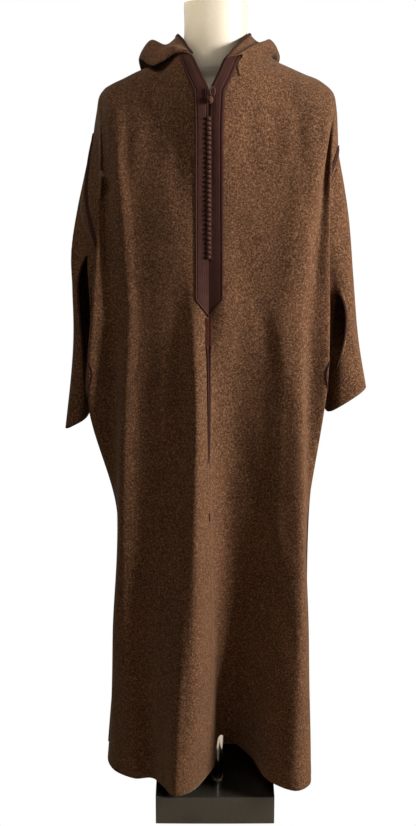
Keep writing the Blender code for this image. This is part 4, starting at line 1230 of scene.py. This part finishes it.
cords = []
for offset in (-0.0030, 0.0030):
    share = np.linspace(0, 1, 120)
    fork = np.exp(-share * 26)
    spread = offset * (1 + 0.7 * fork) * (1 - 0.52 * share)
    line, out = seam_line(LADDER_END_Z, CORD_END_Z, spread, 120)
    sink = 0.0008 - 0.0022 * np.clip((share - 0.55) / 0.45, 0, 1) ** 2
    cords.append(carried(line + out * sink[:, None], out, round_section(1.9, 10)))
line, out = seam_line(LADDER_END_Z - 0.008, CORD_END_Z + 0.07, 0.0, 80)
cords.append(carried(line + out * 0.0009, out, round_section(0.9, 8)))
line, out = seam_line(*BAR_Z, -0.001, 12)
cords.append(carried(line + out * 0.0004, out, round_section(1.5, 8)))
piece = joined("seam_cords", cords, BAND, [False] * len(cords))
print(piece.name, "faces", len(piece.data.polygons))

# %% [markdown]
# ## Braid on the seams
#
# A flat braid with two ridges covers the side seams and armholes. At each pocket slit it opens into
# an eye: one line stays on the edge of the slit, a second one swings out over the front of the
# robe and comes back. The sleeve slits and the mouth of the hood are bound in the same way.

# %% Side seams
SIDE_TOP_Z, SIDE_END_Z, EYE = 1.055, 0.135, (0.868, 1.004)
EYE_WIDE = 36.0                  # millimetres that the front line of the eye swings in

for side in ("right", "left"):
    parts = []
    for face, inset in (("front", 3.0), ("back", 3.2)):
        z = np.linspace(SIDE_TOP_Z, SIDE_END_Z, 190)
        rows = row_of(QUARTERS[side, face], -1, z)
        line, out = on_cloth(side, face, rows, (ACROSS[-1] - inset) * COLUMNS_PER_MM)
        parts.append(carried(line, out, BRAID_SECTION))
    z = np.linspace(EYE[1], EYE[0], 70)
    rows = row_of(QUARTERS[side, "front"], -1, z)
    share = np.linspace(0, 1, 70)
    swing_out = 4.0 + EYE_WIDE * np.sin(math.pi * share ** 0.8) ** 1.2
    line, out = on_cloth(side, "front", rows, (ACROSS[-1] - swing_out) * COLUMNS_PER_MM)
    parts.append(carried(line, out, ridged(3.4, 1, 0.5, 1.8)))
    piece = joined(f"side_braid_{side}", parts, CORD, [False] * len(parts))
    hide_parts(f"side_braid_front_{side}", f"side_braid_back_{side}")
    print(piece.name, "faces", len(piece.data.polygons))

# %% Armholes
ARMHOLE_FROM = {"right": 0.36, "left": 0.60}     # where the braid comes out from under the fold
ARMHOLE_INSET = 5.0                              # millimetres from the edge of the cloth

for side in ("right", "left"):
    steps = STEPS[STEPS >= ARMHOLE_FROM[side]]
    rows_up = UNDERARM + np.searchsorted(STEPS, steps) + 1
    column = (ACROSS[-1] - ARMHOLE_INSET) * COLUMNS_PER_MM
    front = on_cloth(side, "front", rows_up, column)
    back = on_cloth(side, "back", rows_up[-2::-1], column)
    line, out = (np.concatenate([a, b]) for a, b in zip(front, back))
    piece = joined(f"armhole_braid_{side}_piece", [carried(line, out, ridged(9.4, 2, 1.0, 2.2))], CORD,
                   [False])
    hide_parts(f"armhole_braid_{side}")
    print(piece.name, "faces", len(piece.data.polygons))

# %% Sleeve slits
for side in ("right", "left"):
    inner, outer, steps = SLEEVES[side]
    start, end = SLIT[side][1:3]
    open_rows = np.flatnonzero((steps >= start) & (steps <= end + 0.02))
    out = facing(outer, turned=side == "left")
    beside = read_at(outer, open_rows.astype(float), np.full(len(open_rows), 0.5))
    piece = joined(f"sleeve_slit_trim_{side}",
                   [carried(beside, -out[open_rows, 0], ridged(4.4, 2, 0.8, 1.8))], CORD, [False])
    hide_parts(f"sleeve_slit_braid_{side}")
    print(piece.name, "faces", len(piece.data.polygons))

# %% Mouth of the hood
line = hood[-1]
rim_out = np.gradient(hood, axis=0)[-1]
rim_out /= np.linalg.norm(rim_out, axis=1, keepdims=True)
piece = joined("hood_rim_braid", [carried(line, rim_out, ridged(3.6, 1, 0.6, 2.0, deep=3.4))], CORD,
               [False])
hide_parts("hood_edge_braid")
print(piece.name, "faces", len(piece.data.polygons))

# %% [markdown]
# ## Form, pole and block
#
# The robe hangs on a limbless form with a round neck. It is a stack of rings between a circle and a
# rounded box, with curves through nine of them. The pole is a polished tube, and the block has
# bevelled edges, because a sharp edge never catches the light.


# %% Form, pole and block
def rings(profile, count, sides):
    """Rings through the profile rows: z, half width, half depth, centre x and squareness.

    A ring is x = width times the signed power of cosine, y = depth times that of sine.
    """
    profile = np.array(profile, float)
    place = np.linspace(0, 1, len(profile))
    z, wide, deep, middle, power = through(place, profile, np.linspace(0, 1, count)).T
    turn = np.linspace(0, 2 * math.pi, sides, endpoint=False)[None]
    power = power[:, None]
    x = wide[:, None] * np.sign(np.cos(turn)) * np.abs(np.cos(turn)) ** power + middle[:, None]
    y = deep[:, None] * np.sign(np.sin(turn)) * np.abs(np.sin(turn)) ** power
    return np.stack([x, y, np.broadcast_to(z[:, None], x.shape)], axis=-1)


def capped(name, grid, finish, node):
    """Rings closed at both ends with a flat cap drawn to the middle."""
    caps = [grid[[i]].mean(axis=1, keepdims=True).repeat(grid.shape[1], 1) for i in (0, -1)]
    inner = [grid[[i]] * 0.96 + cap * 0.04 for i, cap in zip((0, -1), caps)]
    whole = np.concatenate([caps[0], inner[0], grid, inner[1], caps[1]])
    uv = np.zeros(whole.shape[:2] + (2,))
    piece = joined(name, [(whole, uv)], finish, [False])
    if node:
        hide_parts(node)
    return piece


FORM_PROFILE = (
    (0.850, 0.150, 0.092, 0, 0.80), (0.920, 0.146, 0.089, 0, 0.80), (1.020, 0.142, 0.087, 0, 0.80),
    (1.120, 0.148, 0.095, 0, 0.80), (1.240, 0.160, 0.106, 0, 0.80), (1.340, 0.166, 0.105, 0, 0.80),
    (1.420, 0.172, 0.091, 0, 0.80), (1.465, 0.176, 0.072, 0, 0.82), (1.492, 0.160, 0.055, 0, 0.85),
    (1.512, 0.122, 0.052, 0, 0.90), (1.528, 0.088, 0.0565, 0, 0.95), (1.545, 0.067, 0.060, 0, 1.0),
    (1.600, 0.061, 0.061, 0, 1.0), (1.650, 0.061, 0.061, 0, 1.0), (1.6555, 0.0603, 0.0603, 0, 1.0),
    (1.657, 0.0585, 0.0585, 0, 1.0))
piece = capped("display_form", rings(FORM_PROFILE, 150, 96), FORM, "dress_form")
print(piece.name, "faces", len(piece.data.polygons))

POLE_PROFILE = ((0.0613, 0.0125, 0.0125, 0.006, 1.0), (0.30, 0.0125, 0.0125, 0.006, 1.0),
                (0.60, 0.0125, 0.0125, 0.006, 1.0), (0.8497, 0.0125, 0.0125, 0.006, 1.0))
piece = capped("pole_tube", rings(POLE_PROFILE, 24, 48), STEEL, "stand_pole")
print(piece.name, "faces", len(piece.data.polygons))

BASE_HALF, BASE_HEIGHT, BASE_BEVEL = 0.125, 0.061, 0.0022


def block_grid(half, height, bevel, sides=128):
    """Rings of a rounded square, drawn in along a quarter circle at the bottom and the top."""
    turn = (np.arange(sides) + 0.5) * 2 * math.pi / sides
    corner = 0.006
    c, s = np.cos(turn), np.sin(turn)
    flat = half - corner
    square = np.column_stack([np.clip(c * half * 1.5, -flat, flat),
                              np.clip(s * half * 1.5, -flat, flat)])
    round_off = np.column_stack([c, s]) * corner
    arc = np.linspace(0, math.pi / 2, 6)
    draw = np.concatenate([bevel * (1 - np.sin(arc)), bevel * (1 - np.cos(arc))])
    z = np.concatenate([bevel * (1 - np.cos(arc)), height - bevel * (1 - np.sin(arc))])
    rows = [np.column_stack([square + round_off * (1 - d / corner), np.full(sides, h)])
            for d, h in zip(draw, z)]
    return np.array(rows)


block = block_grid(BASE_HALF, BASE_HEIGHT, BASE_BEVEL)
piece = capped("block_base", block, LACQUER, "stand_base")
piece.data.set_sharp_from_angle(angle=math.radians(40))
print(piece.name, "faces", len(piece.data.polygons))

# %% [markdown]
# ## Floor
#
# A plain pale floor, a little larger than what the camera sees. Light that bounces off it has its
# own colour, but to the camera it glows plain white.

# %% Floor
pale = bpy.data.materials.new("pale_floor")
pale.use_nodes = True
tree = pale.node_tree
surface = tree.nodes["Principled BSDF"]
surface.inputs["Base Color"].default_value = (0.40, 0.33, 0.25, 1.0)
surface.inputs["Roughness"].default_value = 0.9
glow = tree.nodes.new("ShaderNodeEmission")
glow.inputs["Color"].default_value = SEEN_WHITE
path = tree.nodes.new("ShaderNodeLightPath")
mix = tree.nodes.new("ShaderNodeMixShader")
tree.links.new(path.outputs["Is Camera Ray"], mix.inputs[0])
tree.links.new(surface.outputs[0], mix.inputs[1])
tree.links.new(glow.outputs[0], mix.inputs[2])
tree.links.new(mix.outputs[0], tree.nodes["Material Output"].inputs["Surface"])
floor_mesh = bpy.data.meshes.new("floor")
floor_mesh.from_pydata([(-6, -5, 0), (6, -5, 0), (6, 9, 0), (-6, 9, 0)], [], [(0, 1, 2, 3)])
floor_mesh.materials.append(pale)
floor = bpy.data.objects.new("floor", floor_mesh)
bpy.context.scene.collection.objects.link(floor)
print("floor laid")

# %% End of the scene
print("scene built")
